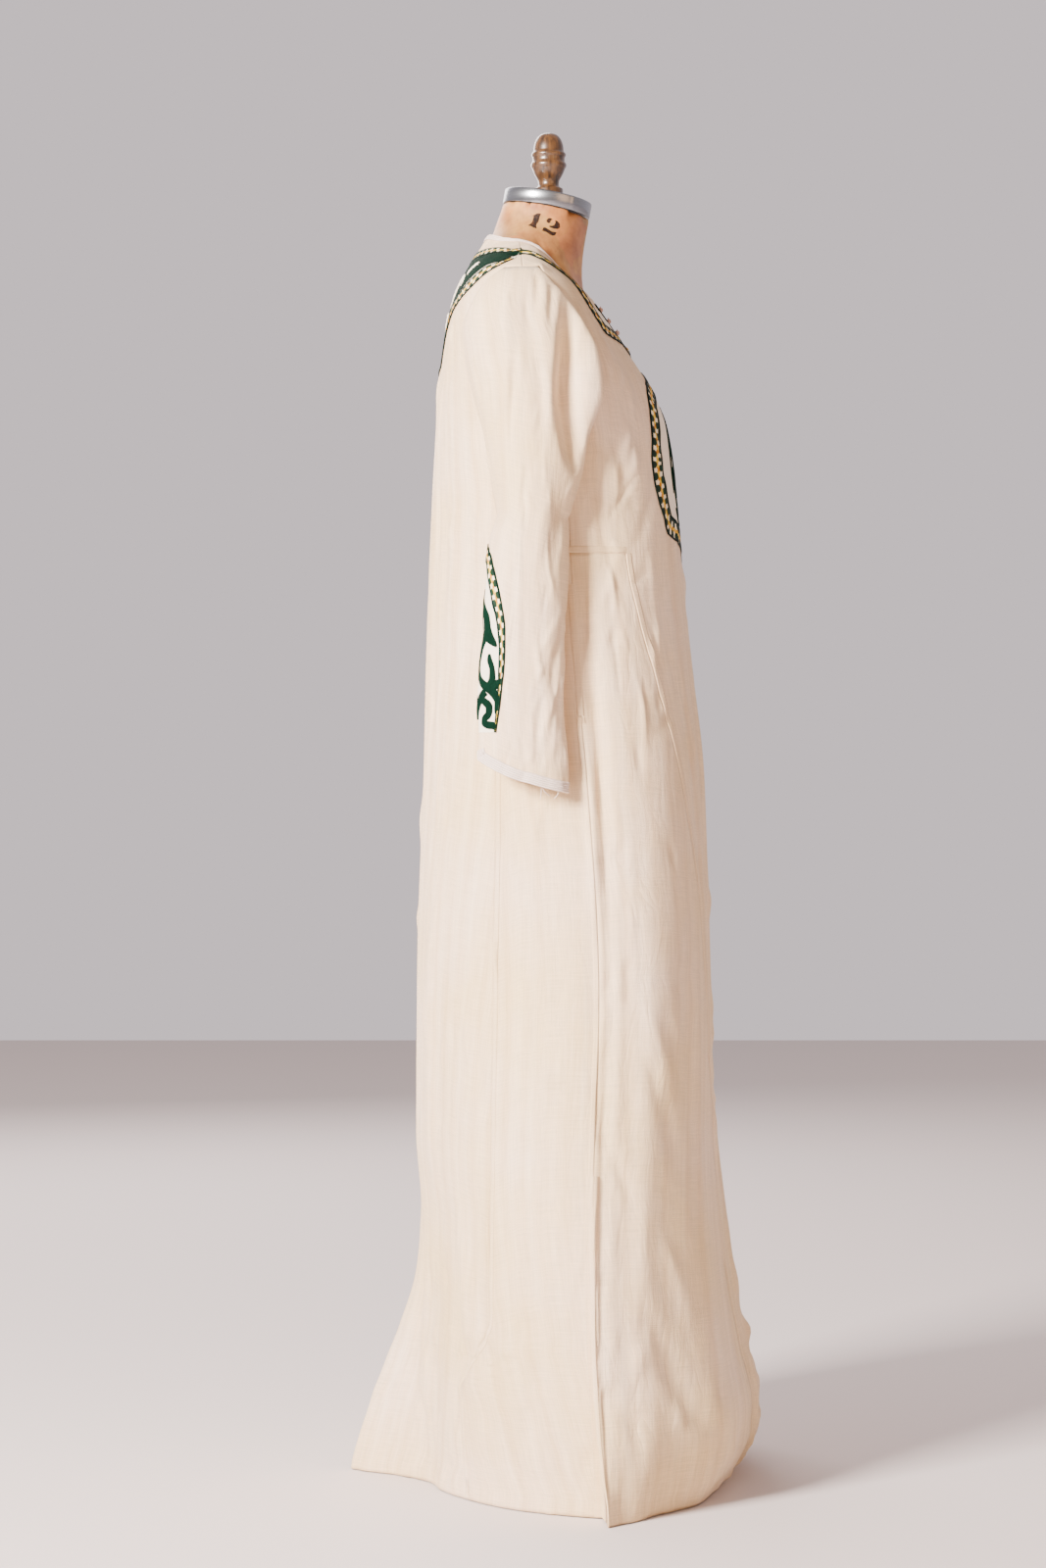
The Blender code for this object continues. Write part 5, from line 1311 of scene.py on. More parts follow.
def felled_seam(path, width=SEAM_ALLOWANCE, rows_of_stitches=(0.0012, 0.0062), rise=SEAM_RISE, start=0.0):
    """A flat allowance beside a line on the body, and its stitches, as mesh parts."""
    path, along = resampled(path, body, 0.004)
    across = np.linspace(start, start + width, 5)
    places = beside(path, body, across)
    lift = np.array([rise * 0.6, rise, rise, rise, rise * 0.6])[:, None]
    points = skin(places[..., 0], places[..., 1], lift)
    normal = body_normal(places[..., 0], places[..., 1])
    sides = edged(points, normal, rise)
    u = np.concatenate([across[:1], across, across[-1:]])
    uv = np.stack(np.broadcast_arrays(u[:, None], along[None]), axis=-1)
    parts = [(sides, strip_faces(7, len(path)), 0, uv)]
    for row in rows_of_stitches:
        row_places = beside(path, body, [start + row])[0]
        line = skin(row_places[:, 0], row_places[:, 1], rise * 1.05)
        vertices, faces = stitches_on(line, body_normal(row_places[:, 0], row_places[:, 1]))
        parts.append((vertices, faces, 1, np.zeros((len(vertices), 2))))
    return parts


def mirrored_parts(parts):
    """The same parts on the wearer's left."""
    turned_over = []
    for points, faces, *finish in parts:
        points = np.asarray(points).reshape(-1, 3) * (-1, 1, 1)
        turned_over.append((points, np.asarray(faces)[:, ::-1], *finish))
    return turned_over


HEM_STITCH_Z = 0.0165
BAR_PITCH = 0.0009


def upright(angle, z):
    """A line up the body at one angle, or at one for each height."""
    return np.stack([angle + 0 * z, z], axis=-1)


def level(first_angle, last_angle, z, count):
    """A line across the body at one height."""
    return np.stack([np.linspace(first_angle, last_angle, count), np.full(count, z)], axis=-1)


low_z = np.linspace(GORE_TOP_Z, 0.002, 90)
front_seam_path = upright(seam_angles(low_z)[2], low_z)
back_seam_path = upright(seam_angles(low_z)[5], low_z)
gore_top = seam_angles(GORE_TOP_Z)
slit_z = np.linspace(0.002, HEM_SLIT_TOP_Z, 60)
side_z = np.linspace(HEM_SLIT_TOP_Z, POCKET_END_Z - 0.004, 60)
pocket_z = np.linspace(POCKET_END_Z - 0.002, POCKET_TOP_Z + 0.006, 24)
pocket_bulge = 0.55 * np.sin(math.pi * np.linspace(0.08, 0.92, 24))
one_side = []
one_side += felled_seam(front_seam_path)
one_side += felled_seam(back_seam_path, rows_of_stitches=(0.0012,), width=0.006)
one_side += felled_seam(level(gore_top[3], gore_top[2], GORE_TOP_Z, 30))
one_side += felled_seam(level(gore_top[5], gore_top[3], GORE_TOP_Z, 30))
one_side += felled_seam(upright(90.1, side_z), width=0.006, rows_of_stitches=(0.0016,))
one_side += felled_seam(upright(89.6, slit_z), width=0.010, rows_of_stitches=(0.0014, 0.0088))
one_side += felled_seam(upright(90.3, slit_z)[::-1], width=0.010, rows_of_stitches=(0.0088,))
one_side += felled_seam(upright(89.4 - pocket_bulge, pocket_z), width=0.008, rows_of_stitches=(0.0012, 0.0068))
for first_angle, last_angle in ((89.6, 0), (180, 90.6)):
    hem_line = level(first_angle, last_angle, HEM_STITCH_Z, 160)
    one_side += felled_seam(hem_line, width=0.0003, rows_of_stitches=(0.0,), rise=0.0001)
# A bar of close stitches ends each pocket, in a yellower thread
for step in range(7):
    bar = level(91.2, 88.6, POCKET_END_Z - 0.0045 - BAR_PITCH * step, 8)
    line, normal = skin(bar[:, 0], bar[:, 1], 0.0008), body_normal(bar[:, 0], bar[:, 1])
    vertices, faces = stitches_on(line, normal, 0.0031, 0.0030, 0.0005)
    one_side.append((vertices, faces, 2, np.zeros((len(vertices), 2))))
seams = joined("felled_seams", one_side + mirrored_parts(one_side), "cut")

# Stitching thread: mercerised cotton, paler and slightly brighter than the cloth
thread, tree, shader = new_material("cotton_thread", 0.6, Sheen_Weight=0.2)
place = node(tree, "TexCoord").outputs["Object"]
ply = node(tree, "TexNoise", {"Vector": place, "Scale": 900.0, "Detail": 1.0})
tone = node(tree, "MixRGB", {0: ply.outputs["Fac"], 1: colour("#a98c63"), 2: colour("#dcc59c")})
feed(tone, shader, "Base Color")
bar_thread, tree, shader = new_material("yellow_cotton_thread", 0.6, Sheen_Weight=0.2)
ply = node(tree, "TexNoise", {"Vector": node(tree, "TexCoord").outputs["Object"], "Scale": 900.0})
tone = node(tree, "MixRGB", {0: ply.outputs["Fac"], 1: colour("#a97f35"), 2: colour("#d9b96c")})
feed(tone, shader, "Base Color")
wear_material(seams, cotton)
for finish in (thread, bar_thread):
    seams.data.materials.append(finish)
finish_piece(seams, "cloth")

# Neck braid, a flat white cotton braid of several cords, sewn over the raw neck edge and down
# both sides of the slit
BRAID = 0.0065
BRAID_RISE = 0.0011


def braid_height(across, width, ridges):
    """The cords of a flat braid, side by side, as seen across it."""
    return 0.0006 + BRAID_RISE * 0.75 * np.abs(np.sin(np.pi * ridges * across / width)) ** 0.7


def braid_strip(path, surface, cover, width, ridges):
    """A flat braid to the left of a line on a surface, with its corded relief."""
    path, along = resampled(path, surface, 0.0022)
    across = np.linspace(0, width, 6 * ridges + 1)
    places = beside(path, surface, across)
    which_cord = np.floor(across[:, None] / width * ridges)
    twist = 0.00016 * np.sin(along[None] * 2 * np.pi / 0.0026 + np.pi * which_cord)
    points = cover(places[..., 0], places[..., 1], braid_height(across, width, ridges)[:, None] + twist)
    normal = normals_of(points)
    sides = edged(points, normal, 0.0009)
    u = np.concatenate([across[:1], across, across[-1:]])
    uv = np.stack(np.broadcast_arrays(u[:, None], along[None]), axis=-1)
    return (sides, strip_faces(len(sides), len(path)), 0, uv)


# Braid: bleached cotton cords, whiter than the cloth, coloured darker in the grooves between them
braid_cotton, tree, shader = new_material("bleached_cotton_braid", 0.72, Sheen_Weight=0.15)
flat = node(tree, "UVMap", uv_map="braid").outputs[0]
twist = node(tree, "Mapping", {"Vector": flat, "Scale": (500, 1300, 1)})
plait = node(tree, "TexNoise", {"Vector": twist.outputs[0], "Scale": 1.0, "Detail": 2.0})
ways = node(tree, "SeparateXYZ", {0: flat})
# The colour is darker in the grooves between the cords, where the braid's relief dips
between = node(tree, "Math", {0: ways.outputs["X"], 1: 0.0011}, operation="PINGPONG")
darker_between_cords = node(tree, "MapRange", {0: between.outputs[0], 1: 0.0, 2: 0.0007, 3: 0.0, 4: 1.0})
tone = node(tree, "MixRGB", {0: darker_between_cords.outputs[0], 1: colour("#bfa79a"), 2: colour("#f3e9e2")})
mixed = node(tree, "MixRGB", {0: plait.outputs["Fac"], 1: colour("#cdb6ab"), 2: tone.outputs[0]})
feed(mixed, shader, "Base Color")
bump = node(tree, "Bump", {"Strength": 0.5, "Distance": 0.0003, "Height": plait.outputs["Fac"]})
feed(bump, shader, "Normal")

full_neck = np.stack([neck_angles, neck_heights], axis=-1)[SLIT:][::-1]
left_neck = np.stack([360 - full_neck[:, 0], full_neck[:, 1]], axis=-1)[::-1]
around_neck = np.concatenate([left_neck[:-1], full_neck])[::-1]


def skin_round(angle, z, lift=0.0):
    return skin((np.asarray(angle) + 180) % 360 - 180, z, lift)


BRAID_FOOT_Z = 1.268
slit_heights = np.linspace(neck_heights[SLIT] - 0.002, BRAID_FOOT_Z, 24)
slit_side = np.stack([np.abs(angle_at_x(NECK_SLIT_HALF, slit_heights)), slit_heights], axis=-1)
edge = braid_strip(slit_side, body, skin, 0.0045, 2)
round_neck = braid_strip(around_neck, body, skin_round, BRAID, 3)
neck_braid = joined("neck_braid", [round_neck, edge, *mirrored_parts([edge])], "braid")
wear_material(neck_braid, braid_cotton)
finish_piece(neck_braid, "braid", "neck_binding")

# Embroidered bands, in thick soft cotton floss: a dark green cord along each edge, two
# columns of green knots set apart in turn, white squares between, and a chain in two yellows.
BAND = 0.023
CHECK = 0.0136
KNOT = 0.0044
KNOT_ACROSS = 0.0063
CHAIN_SWING = 0.0020
CHAIN_HALF = 0.0034
EDGE_CORD = 0.0029
STAGGER = 0.42
BASE_RISE = 0.0008


def near_step(value, period):
    """How far a length is from the nearest whole number of periods."""
    return np.abs((value / period + 0.5) % 1 - 0.5) * period


def band_height(along, across):
    """How far a band's stitches stand proud, at places along it and across from its middle."""
    shifted = np.where(across > 0, along - STAGGER * CHECK, along)
    from_knot = np.hypot(near_step(shifted, CHECK), np.abs(across) - KNOT_ACROSS) / KNOT
    knot = 0.0009 * np.sqrt(np.clip(1 - from_knot**4, 0, 1))
    swing = CHAIN_SWING * (4 * near_step(along, CHECK) / CHECK - 1)
    chain = 0.0006 * np.sqrt(np.clip(1 - ((across - swing) / CHAIN_HALF) ** 2, 0, 1))
    cord = np.abs(np.abs(across) - (BAND / 2 - EDGE_CORD / 2)) / (EDGE_CORD / 2)
    return BASE_RISE + np.maximum(np.maximum(knot, chain), 0.0010 * np.sqrt(np.clip(1 - cord**2, 0, 1)))


def evenly(values, count):
    """As many values as asked for, read at even shares along a row of values."""
    return np.interp(np.linspace(0, 1, count), np.linspace(0, 1, len(values)), values)


def band_part(path, surface, cover, widths, pitch=0.0011):
    """An embroidered band to the left of a line on a surface, as wide as given at each place
    of the line, as a mesh part whose UV map is along and across it in metres."""
    even, along = resampled(path, surface, pitch)
    widths = evenly(np.broadcast_to(widths, len(path)), len(even))
    across = np.linspace(-0.5, 0.5, 23)
    places = beside(even, surface, [(a + 0.5) * widths for a in across])
    wide = across[:, None] * BAND * np.ones_like(along)
    height = band_height(along[None] * np.ones_like(wide), wide)
    points = cover(places[..., 0], places[..., 1], height)
    sides = edged(points, normals_of(points), BASE_RISE)
    u = np.concatenate([wide[:1], wide, wide[-1:]])
    uv = np.stack([along[None] * np.ones_like(u), u], axis=-1)
    return (sides, strip_faces(len(sides), len(even)), 0, uv)


# Floss in satin stitch: soft cotton threads side by side, so it has a low silky shine. Green
# knots, white squares and yellow chain are told apart by the place along and across the band.
GREEN, GREEN_DARK, OUTLINE = "#143826", "#0a2016", "#071710"
band_floss, tree, shader = new_material("satin_stitched_floss", 0.62, Specular_IOR_Level=0.12)
flat = node(tree, "UVMap", uv_map="stitch").outputs[0]
ways = node(tree, "SeparateXYZ", {0: flat})
along, across = ways.outputs["X"], ways.outputs["Y"]
is_left = node(tree, "Math", {0: across, 1: 0.0}, operation="GREATER_THAN").outputs[0]
shift = node(tree, "Math", {0: is_left, 1: -STAGGER * CHECK, 2: along}, operation="MULTIPLY_ADD")
from_row = node(tree, "Math", {0: shift.outputs[0], 1: CHECK / 2}, operation="PINGPONG").outputs[0]
width_away = node(tree, "Math", {0: across}, operation="ABSOLUTE").outputs[0]
from_column = node(tree, "Math", {0: width_away, 1: KNOT_ACROSS}, operation="SUBTRACT").outputs[0]
squares = [
    node(tree, "Math", {0: side, 1: 2.0}, operation="POWER").outputs[0]
    for side in (from_row, node(tree, "Math", {0: from_column}, operation="ABSOLUTE").outputs[0])
]
from_knot = node(tree, "Math", {0: squares[0], 1: squares[1]}, operation="ADD").outputs[0]
fuzz = node(tree, "TexNoise", {"Vector": flat, "Scale": 900.0, "Detail": 2.0}).outputs["Fac"]
rough_knot = node(tree, "MapRange", {0: fuzz, 3: (KNOT * 0.86) ** 2, 4: (KNOT * 1.16) ** 2}).outputs[0]
in_knot = node(tree, "Math", {0: from_knot, 1: rough_knot}, operation="LESS_THAN").outputs[0]
from_turn = node(tree, "Math", {0: along, 1: CHECK / 2}, operation="PINGPONG").outputs[0]
swing = node(
    tree, "MapRange", {0: from_turn, 1: 0.0, 2: CHECK / 2, 3: -CHAIN_SWING, 4: CHAIN_SWING}
).outputs[0]
from_chain = node(tree, "Math", {0: across, 1: swing}, operation="SUBTRACT").outputs[0]
off_chain = node(tree, "Math", {0: from_chain}, operation="ABSOLUTE").outputs[0]
rough_chain = node(tree, "MapRange", {0: fuzz, 3: CHAIN_HALF * 0.7, 4: CHAIN_HALF * 1.3}).outputs[0]
in_chain = node(tree, "Math", {0: off_chain, 1: rough_chain}, operation="LESS_THAN").outputs[0]
in_cord = node(tree, "Math", {0: width_away, 1: BAND / 2 - EDGE_CORD}, operation="GREATER_THAN").outputs[0]
patches = node(tree, "TexNoise", {"Vector": flat, "Scale": 170.0, "Detail": 1.0}).outputs["Fac"]
yellows = node(tree, "ValToRGB", {0: patches})
yellows.color_ramp.elements[0].position = 0.42
yellows.color_ramp.elements[0].color = colour("#c07708")
yellows.color_ramp.elements[1].position = 0.56
yellows.color_ramp.elements[1].color = colour("#e6c738")
whites = node(tree, "MixRGB", {0: patches, 1: colour("#e6d9b8"), 2: colour("#f8efd9")})
greens = node(tree, "MixRGB", {0: fuzz, 1: colour(GREEN_DARK), 2: colour(GREEN)})
tone = node(tree, "MixRGB", {0: in_chain, 1: whites.outputs[0], 2: yellows.outputs[0]})
tone = node(tree, "MixRGB", {0: in_knot, 1: tone.outputs[0], 2: greens.outputs[0]})
tone = node(tree, "MixRGB", {0: in_cord, 1: tone.outputs[0], 2: colour(OUTLINE)})
feed(tone, shader, "Base Color")
threads = node(tree, "Mapping", {"Vector": flat, "Scale": (1500, 180, 1)})
strand = node(tree, "TexNoise", {"Vector": threads.outputs[0], "Scale": 1.0, "Detail": 1.0})
bump = node(tree, "Bump", {"Strength": 0.7, "Distance": 0.0004, "Height": strand.outputs["Fac"]})
feed(bump, shader, "Normal")

# Solid motifs in the same floss, its strands laid slantwise across each shape
green_floss, tree, shader = new_material("green_cotton_floss", 0.8, Specular_IOR_Level=0.03)
place = node(tree, "TexCoord").outputs["Object"]
laid = node(tree, "Mapping", {"Vector": place, "Rotation": (0.5, 0.3, 0.6), "Scale": (1500, 1500, 170)})
strand = node(tree, "TexNoise", {"Vector": laid.outputs[0], "Scale": 1.0, "Detail": 2.0})
blotch = node(tree, "TexNoise", {"Vector": place, "Scale": 90.0, "Detail": 2.0})
deep = node(tree, "MixRGB", {0: blotch.outputs["Fac"], 1: colour("#051f16"), 2: colour("#0a3022")})
tone = node(tree, "MixRGB", {0: strand.outputs["Fac"], 1: colour("#03110b"), 2: deep.outputs[0]})
feed(tone, shader, "Base Color")
bump = node(tree, "Bump", {"Strength": 0.8, "Distance": 0.0005, "Height": strand.outputs["Fac"]})
feed(bump, shader, "Normal")

# White ground of the embroidery, darned across with white floss, whiter than the cloth
white_floss, tree, shader = new_material("white_cotton_floss", 0.68)
place = node(tree, "TexCoord").outputs["Object"]
laid = node(tree, "Mapping", {"Vector": place, "Scale": (260, 260, 1700)})
strand = node(tree, "TexNoise", {"Vector": laid.outputs[0], "Scale": 1.0, "Detail": 2.0})
tone = node(tree, "MixRGB", {0: strand.outputs["Fac"], 1: colour("#e2d4bd"), 2: colour("#f7f0e2")})
feed(tone, shader, "Base Color")
bump = node(tree, "Bump", {"Strength": 0.45, "Distance": 0.0003, "Height": strand.outputs["Fac"]})
feed(bump, shader, "Normal")


def wear_floss(piece):
    for finish in (band_floss, green_floss, white_floss):
        piece.data.materials.append(finish)


def smooth_line(knots, count):
    """A smooth line through given knots of x, y and half width."""
    knots = np.asarray(knots, float)
    ends = np.concatenate([2 * knots[:1] - knots[1:2], knots, 2 * knots[-1:] - knots[-2:-1]])
    at = np.linspace(0, len(knots) - 1, count)
    i = np.clip(at.astype(int), 0, len(knots) - 2)
    t = (at - i)[:, None]
    a, b, c, d = ends[i], ends[i + 1], ends[i + 2], ends[i + 3]
    square, cube = 2 * a - 5 * b + 4 * c - d, 3 * b - a - 3 * c + d
    return 0.5 * (2 * b + (c - a) * t + square * t**2 + cube * t**3)


def stroke_part(knots, chart, finish, rise=0.0011, base=0.0008, per_knot=9):
    """A raised stroke of satin stitch on a chart of a surface, from knots in millimetres of
    x, metres of height and millimetres of half width."""
    knots = [(x / 1000, y, half / 1000) for x, y, half in knots]
    line = smooth_line(knots, per_knot * (len(knots) - 1) + 1)
    tangent = np.gradient(line[:, :2], axis=0)
    tangent /= np.maximum(np.linalg.norm(tangent, axis=-1, keepdims=True), 1e-9)
    left = np.stack([-tangent[:, 1], tangent[:, 0]], axis=-1)
    half = np.maximum(line[:, 2], 0.0002)
    rows, lifts = [], []
    for share in (-1.0, -0.97, -0.8, -0.4, 0.0, 0.4, 0.8, 0.97, 1.0):
        rows.append(line[:, :2] + left * (half * share)[:, None])
        thick = np.clip(half / 0.0012, 0.35, 1)
        edge = 0.0 if abs(share) == 1 else np.sqrt(1 - share**2 * 0.9)
        lifts.append(base * (abs(share) < 1) + rise * edge * thick)
    rows, lifts = np.array(rows), np.array(lifts)
    points = chart(rows[..., 0], rows[..., 1], lifts)
    return (points, strip_faces(len(rows), len(line)), finish, np.zeros((rows.shape[0] * rows.shape[1], 2)))


def facing_out(part, centre_of):
    """The same part, its faces turned to look away from a centre."""
    points, faces = np.asarray(part[0]).reshape(-1, 3), np.asarray(part[1])
    corner = points[faces]
    normal = np.cross(corner[:, 1] - corner[:, 0], corner[:, 2] - corner[:, 1])
    away = corner.mean(axis=1) - centre_of(corner.mean(axis=1))
    if (normal * away).sum() < 0:
        faces = faces[:, ::-1]
    return (points, faces, *part[2:])


def from_axis(points):
    """The middle of the body at each point's height."""
    return points * (0, 0, 1)


GROUND_LIFT = 0.0005

# Front plastron: a long pointed leaf down the breast, edged by a band that narrows to both
# tips, with a white ground and green scrolls that branch from a stem
LEAF_ROWS = (
    (1.0325, 0.0010),
    (1.0360, 0.0300),
    (1.0460, 0.0850),
    (1.0500, 0.0985),
    (1.0650, 0.1060),
    (1.0860, 0.1136),
    (1.1090, 0.1176),
    (1.1290, 0.1200),
    (1.1500, 0.1165),
    (1.1760, 0.1120),
    (1.2050, 0.1000),
    (1.2250, 0.0660),
    (1.2420, 0.0010),
)


def front_chart(x, z, lift):
    """Places on the front by distance across and height, right of the wearer's middle over 0."""
    return skin(np.sign(x) * np.abs(angle_at_x(np.abs(x) + 1e-6, z)), z, lift)


edge_z = np.concatenate([
    np.linspace(1.2418, 1.2150, 40), np.linspace(1.2150, 1.0520, 80)[1:], np.linspace(1.0520, 1.0326, 60)[1:],
])
edge_x = read(LEAF_ROWS, 1, edge_z)
edge_path = np.stack([np.abs(angle_at_x(edge_x, edge_z)), edge_z], axis=-1)
room = 0.001 + edge_x * np.where(edge_z < 1.1, 8.0, 2.6)
right_band = facing_out(band_part(edge_path, body, skin, np.minimum(BAND, room)), from_axis)
ground_x = np.linspace(-1, 1, 61)[:, None] * np.maximum(edge_x - 0.001, 0.0002)
ground_z = np.broadcast_to(edge_z, ground_x.shape)
ground = (
    front_chart(ground_x, ground_z, GROUND_LIFT), strip_faces(61, len(edge_z)), 2,
    np.zeros((61 * len(edge_z), 2)),
)
PLASTRON_STROKES = (
    ((0, 1.214, 0.6), (0, 1.18, 2.6), (0, 1.14, 3.6), (0, 1.10, 3.8), (0, 1.074, 2.4), (0, 1.060, 0.6)),
    ((2, 1.072, 3), (14, 1.076, 5), (29, 1.083, 6.5), (42, 1.096, 6.5), (50, 1.112, 5), (51, 1.124, 2.5),
     (46, 1.129, 0.8)),
    ((2, 1.104, 3), (13, 1.110, 5), (27, 1.120, 6.5), (38, 1.136, 6.5), (44, 1.152, 4.5), (41, 1.163, 1.0)),
    ((2, 1.134, 3), (11, 1.143, 5), (22, 1.156, 6), (31, 1.172, 4.5), (28, 1.183, 1.0)),
    ((2, 1.164, 2.4), (9, 1.174, 4.4), (16, 1.188, 4), (14, 1.199, 0.8)),
    ((60, 1.098, 0.6), (62, 1.114, 1.3), (62, 1.130, 1.6), (58, 1.150, 1.6), (50, 1.167, 1.5),
     (41, 1.180, 1.2), (35, 1.190, 0.7)),
    ((24, 1.095, 0.8), (31, 1.101, 3.0), (38, 1.109, 3.0), (36, 1.119, 0.8)),
    ((18, 1.130, 0.8), (24, 1.137, 2.8), (29, 1.145, 2.8), (27, 1.154, 0.8)),
    ((20, 1.064, 0.8), (30, 1.067, 3.0), (41, 1.072, 3.0), (52, 1.082, 0.8)),
)
plastron_parts = [facing_out(ground, from_axis), right_band, *mirrored_parts([right_band])]
for knots in PLASTRON_STROKES:
    part = facing_out(stroke_part(knots, front_chart, 1), from_axis)
    plastron_parts += [part, *(mirrored_parts([part]) if knots[1][0] else [])]
even_edge, _ = resampled(edge_path, body, 0.006)
INNER_CORD = 1.9
INNER_CORD_GAP = 0.0008
cord_place = body(*beside(even_edge, body, [BAND + INNER_CORD_GAP])[0].T)
inner_cord = [(-x * 1000, z, INNER_CORD) for x, _, z in cord_place if x < -0.004 and 1.05 < z < 1.22]
part = facing_out(stroke_part(inner_cord, front_chart, 1, per_knot=3), from_axis)
plastron_parts += [part, *mirrored_parts([part])]
tail_knots = ((0, 1.034, 1.2), (0, 1.029, 1.0), (0, 1.022, 0.4))
tail = facing_out(stroke_part(tail_knots, front_chart, 1), from_axis)
plastron = joined("front_plastron_embroidery", [*plastron_parts, tail], "stitch")
wear_floss(plastron)
finish_piece(plastron, "embroidery", "front_plastron")

# Collar bands: the same band, narrower, round the front of the neck from a bar at the shoulder,
# and down beside the slit to a broad foot. A cord carries each on to the plastron's tip.
COLLAR_BAND = 0.0165
FOOT_START_X = 0.0062
BAND_DROP_ROWS = (
    (0, 0.006),
    (20, 0.006),
    (45, 0.012),
    (60, 0.014),
    (75, 0.017),
    (90, 0.020),
    (104, 0.022),
    (115, 0.019),
    (130, 0.014),
    (147, 0.010),
    (162, 0.006),
    (180, 0.004),
)
# The collar's lower edge: y and z where it shows from the side, then x and z of its foot
COLLAR_SIDE_KNOTS = (
    (0.0364, 1.3508),
    (0.0267, 1.3501),
    (0.0141, 1.3454),
    (0.0005, 1.3383),
    (-0.0131, 1.3295),
    (-0.0239, 1.3184),
    (-0.0325, 1.3061),
    (-0.0408, 1.2925),
    (-0.0504, 1.2774),
    (-0.0601, 1.2650),
)
COLLAR_FOOT_KNOTS = ((0.0800, 1.2590), (0.0520, 1.2555), (0.0240, 1.2530), (0.0020, 1.2515))
below_neck = band_drops + read(BAND_DROP_ROWS, 1, neck_angles)
band_top = drop_below(neck_heights, below_neck)
collar_low = drop_below(neck_heights, below_neck + COLLAR_BAND)
collar_angles = on_columns(collar_low)
collar_knots = [(float(np.abs(angle_at_y(y, np.array(z)))), z, 0) for y, z in COLLAR_SIDE_KNOTS]
collar_knots += [(float(np.abs(angle_at_x(x, np.array(z)))), z, 0) for x, z in COLLAR_FOOT_KNOTS]
collar_path = smooth_line(collar_knots, 240)[:, :2]
collar_place = body(*collar_path.T)
to_centre = np.clip(-collar_place[:, 0] * 4, 0.0004, COLLAR_BAND)
collar_band = facing_out(band_part(collar_path, body, skin, to_centre), from_axis)
link_knots = ((3.4, 1.2585, 1.7), (3.2, 1.2500, 1.7), (2.8, 1.2400, 1.6))
link = facing_out(stroke_part(link_knots, front_chart, 1, rise=0.0016), from_axis)
COLLAR_STROKES = (
    ((8, 1.262, 0.8), (24, 1.268, 3.6), (44, 1.276, 4.6), (62, 1.287, 4.4), (72, 1.300, 2.8),
     (66, 1.308, 0.8)),
    ((6, 1.272, 0.8), (16, 1.279, 3.2), (28, 1.289, 3.8), (38, 1.300, 2.8), (36, 1.309, 0.8)),
    ((46, 1.286, 0.8), (54, 1.294, 2.6), (58, 1.303, 2.4), (52, 1.311, 0.7)),
)
foot_z = np.linspace(1.2530, 1.2970, 30)
foot_x = np.interp(foot_z, collar_place[::-1, 2], -collar_place[::-1, 0])
foot_place = np.linspace(0.0022, 1, 31)[:, None] * foot_x
foot_across = np.maximum(foot_place, FOOT_START_X)
foot_ground = facing_out((
    front_chart(foot_across, np.broadcast_to(foot_z, foot_place.shape), GROUND_LIFT),
    strip_faces(31, 30), 2, np.zeros((31 * 30, 2)),
), from_axis)
bar_z = np.linspace(collar_low[SHOULDER], band_top[SHOULDER], 3)
bar_angle = np.linspace(collar_angles[SHOULDER], on_columns(band_top)[SHOULDER], 3)


def shoulder_chart(x, z, lift):
    """Places by the shoulder joint, by distance behind it and height."""
    return skin(np.interp(z, bar_z, bar_angle) + x * 520, z, lift)


bar = facing_out(stroke_part([(0, z, 1.3) for z in bar_z], shoulder_chart, 1, rise=0.0014), from_axis)
collar_parts = [collar_band, link, foot_ground, bar]
for knots in COLLAR_STROKES:
    collar_parts.append(facing_out(stroke_part(knots, front_chart, 1), from_axis))
for side in ("right", "left"):
    parts = mirrored_parts(collar_parts) if side == "left" else collar_parts
    piece = joined(f"collar_band_{side}_embroidery", parts, "stitch")
    wear_floss(piece)
    finish_piece(piece, "embroidery", f"collar_band_{side}")

# Back yoke: a broad pointed shield over the shoulder blades. A band follows the neck, another
# edges the shield down to its point, and the green field between is cut by white curls.
YOKE_TOP_BAND = 0.0125
YOKE_LOW_BAND = 0.0135
FIELD_GAP = 0.0034
WHITE_FIELD_LIFT = 0.0004
GREEN_FIELD_LIFT = 0.0013
CURL_LIFT = 0.0017
SHIELD_KNOTS = (
    (96.0, 1.3440),
    (107.0, 1.3370),
    (119.5, 1.3290),
    (128.0, 1.3220),
    (134.0, 1.3165),
    (140.5, 1.3110),
    (148.5, 1.3040),
    (157.5, 1.2950),
    (165.0, 1.2820),
    (171.0, 1.2640),
    (176.0, 1.2440),
    (180.0, 1.2290),
)
yoke_columns = np.arange(SHOULDER, CENTRE_BACK + 1)
yoke_low_z = drop_below(neck_heights, below_neck + YOKE_TOP_BAND)
neck_low = np.stack([on_columns(yoke_low_z)[yoke_columns], yoke_low_z[yoke_columns]], axis=-1)
yoke_top = facing_out(band_part(neck_low[::-1], body, skin, YOKE_TOP_BAND), from_axis)
shield = smooth_line([(angle, z, 0) for angle, z in SHIELD_KNOTS], 120)[:, :2]
middle_room = np.abs(body(shield[:, 0], shield[:, 1])[:, 0])
from_start = steps_along(body(shield[:, 0], shield[:, 1]))
shield_width = np.minimum(np.minimum(YOKE_LOW_BAND, middle_room * 0.9 + 0.0005), 0.004 + from_start * 0.3)
yoke_low = facing_out(band_part(shield[::-1], body, skin, shield_width[::-1]), from_axis)


def field_between(low, high, finish, lift, rows=18, trim=(0.0, 0.0)):
    """A field of stitches between two lines on the body, as a mesh part."""
    low, high = np.asarray(low), np.asarray(high)
    shares = np.linspace(trim[0], 1 - trim[1], rows)[:, None, None]
    places = low[None] + (high - low)[None] * shares
    points = skin(places[..., 0], places[..., 1], lift)
    part = (points, strip_faces(rows, len(low)), finish, np.zeros((rows * len(low), 2)))
    return facing_out(part, from_axis)


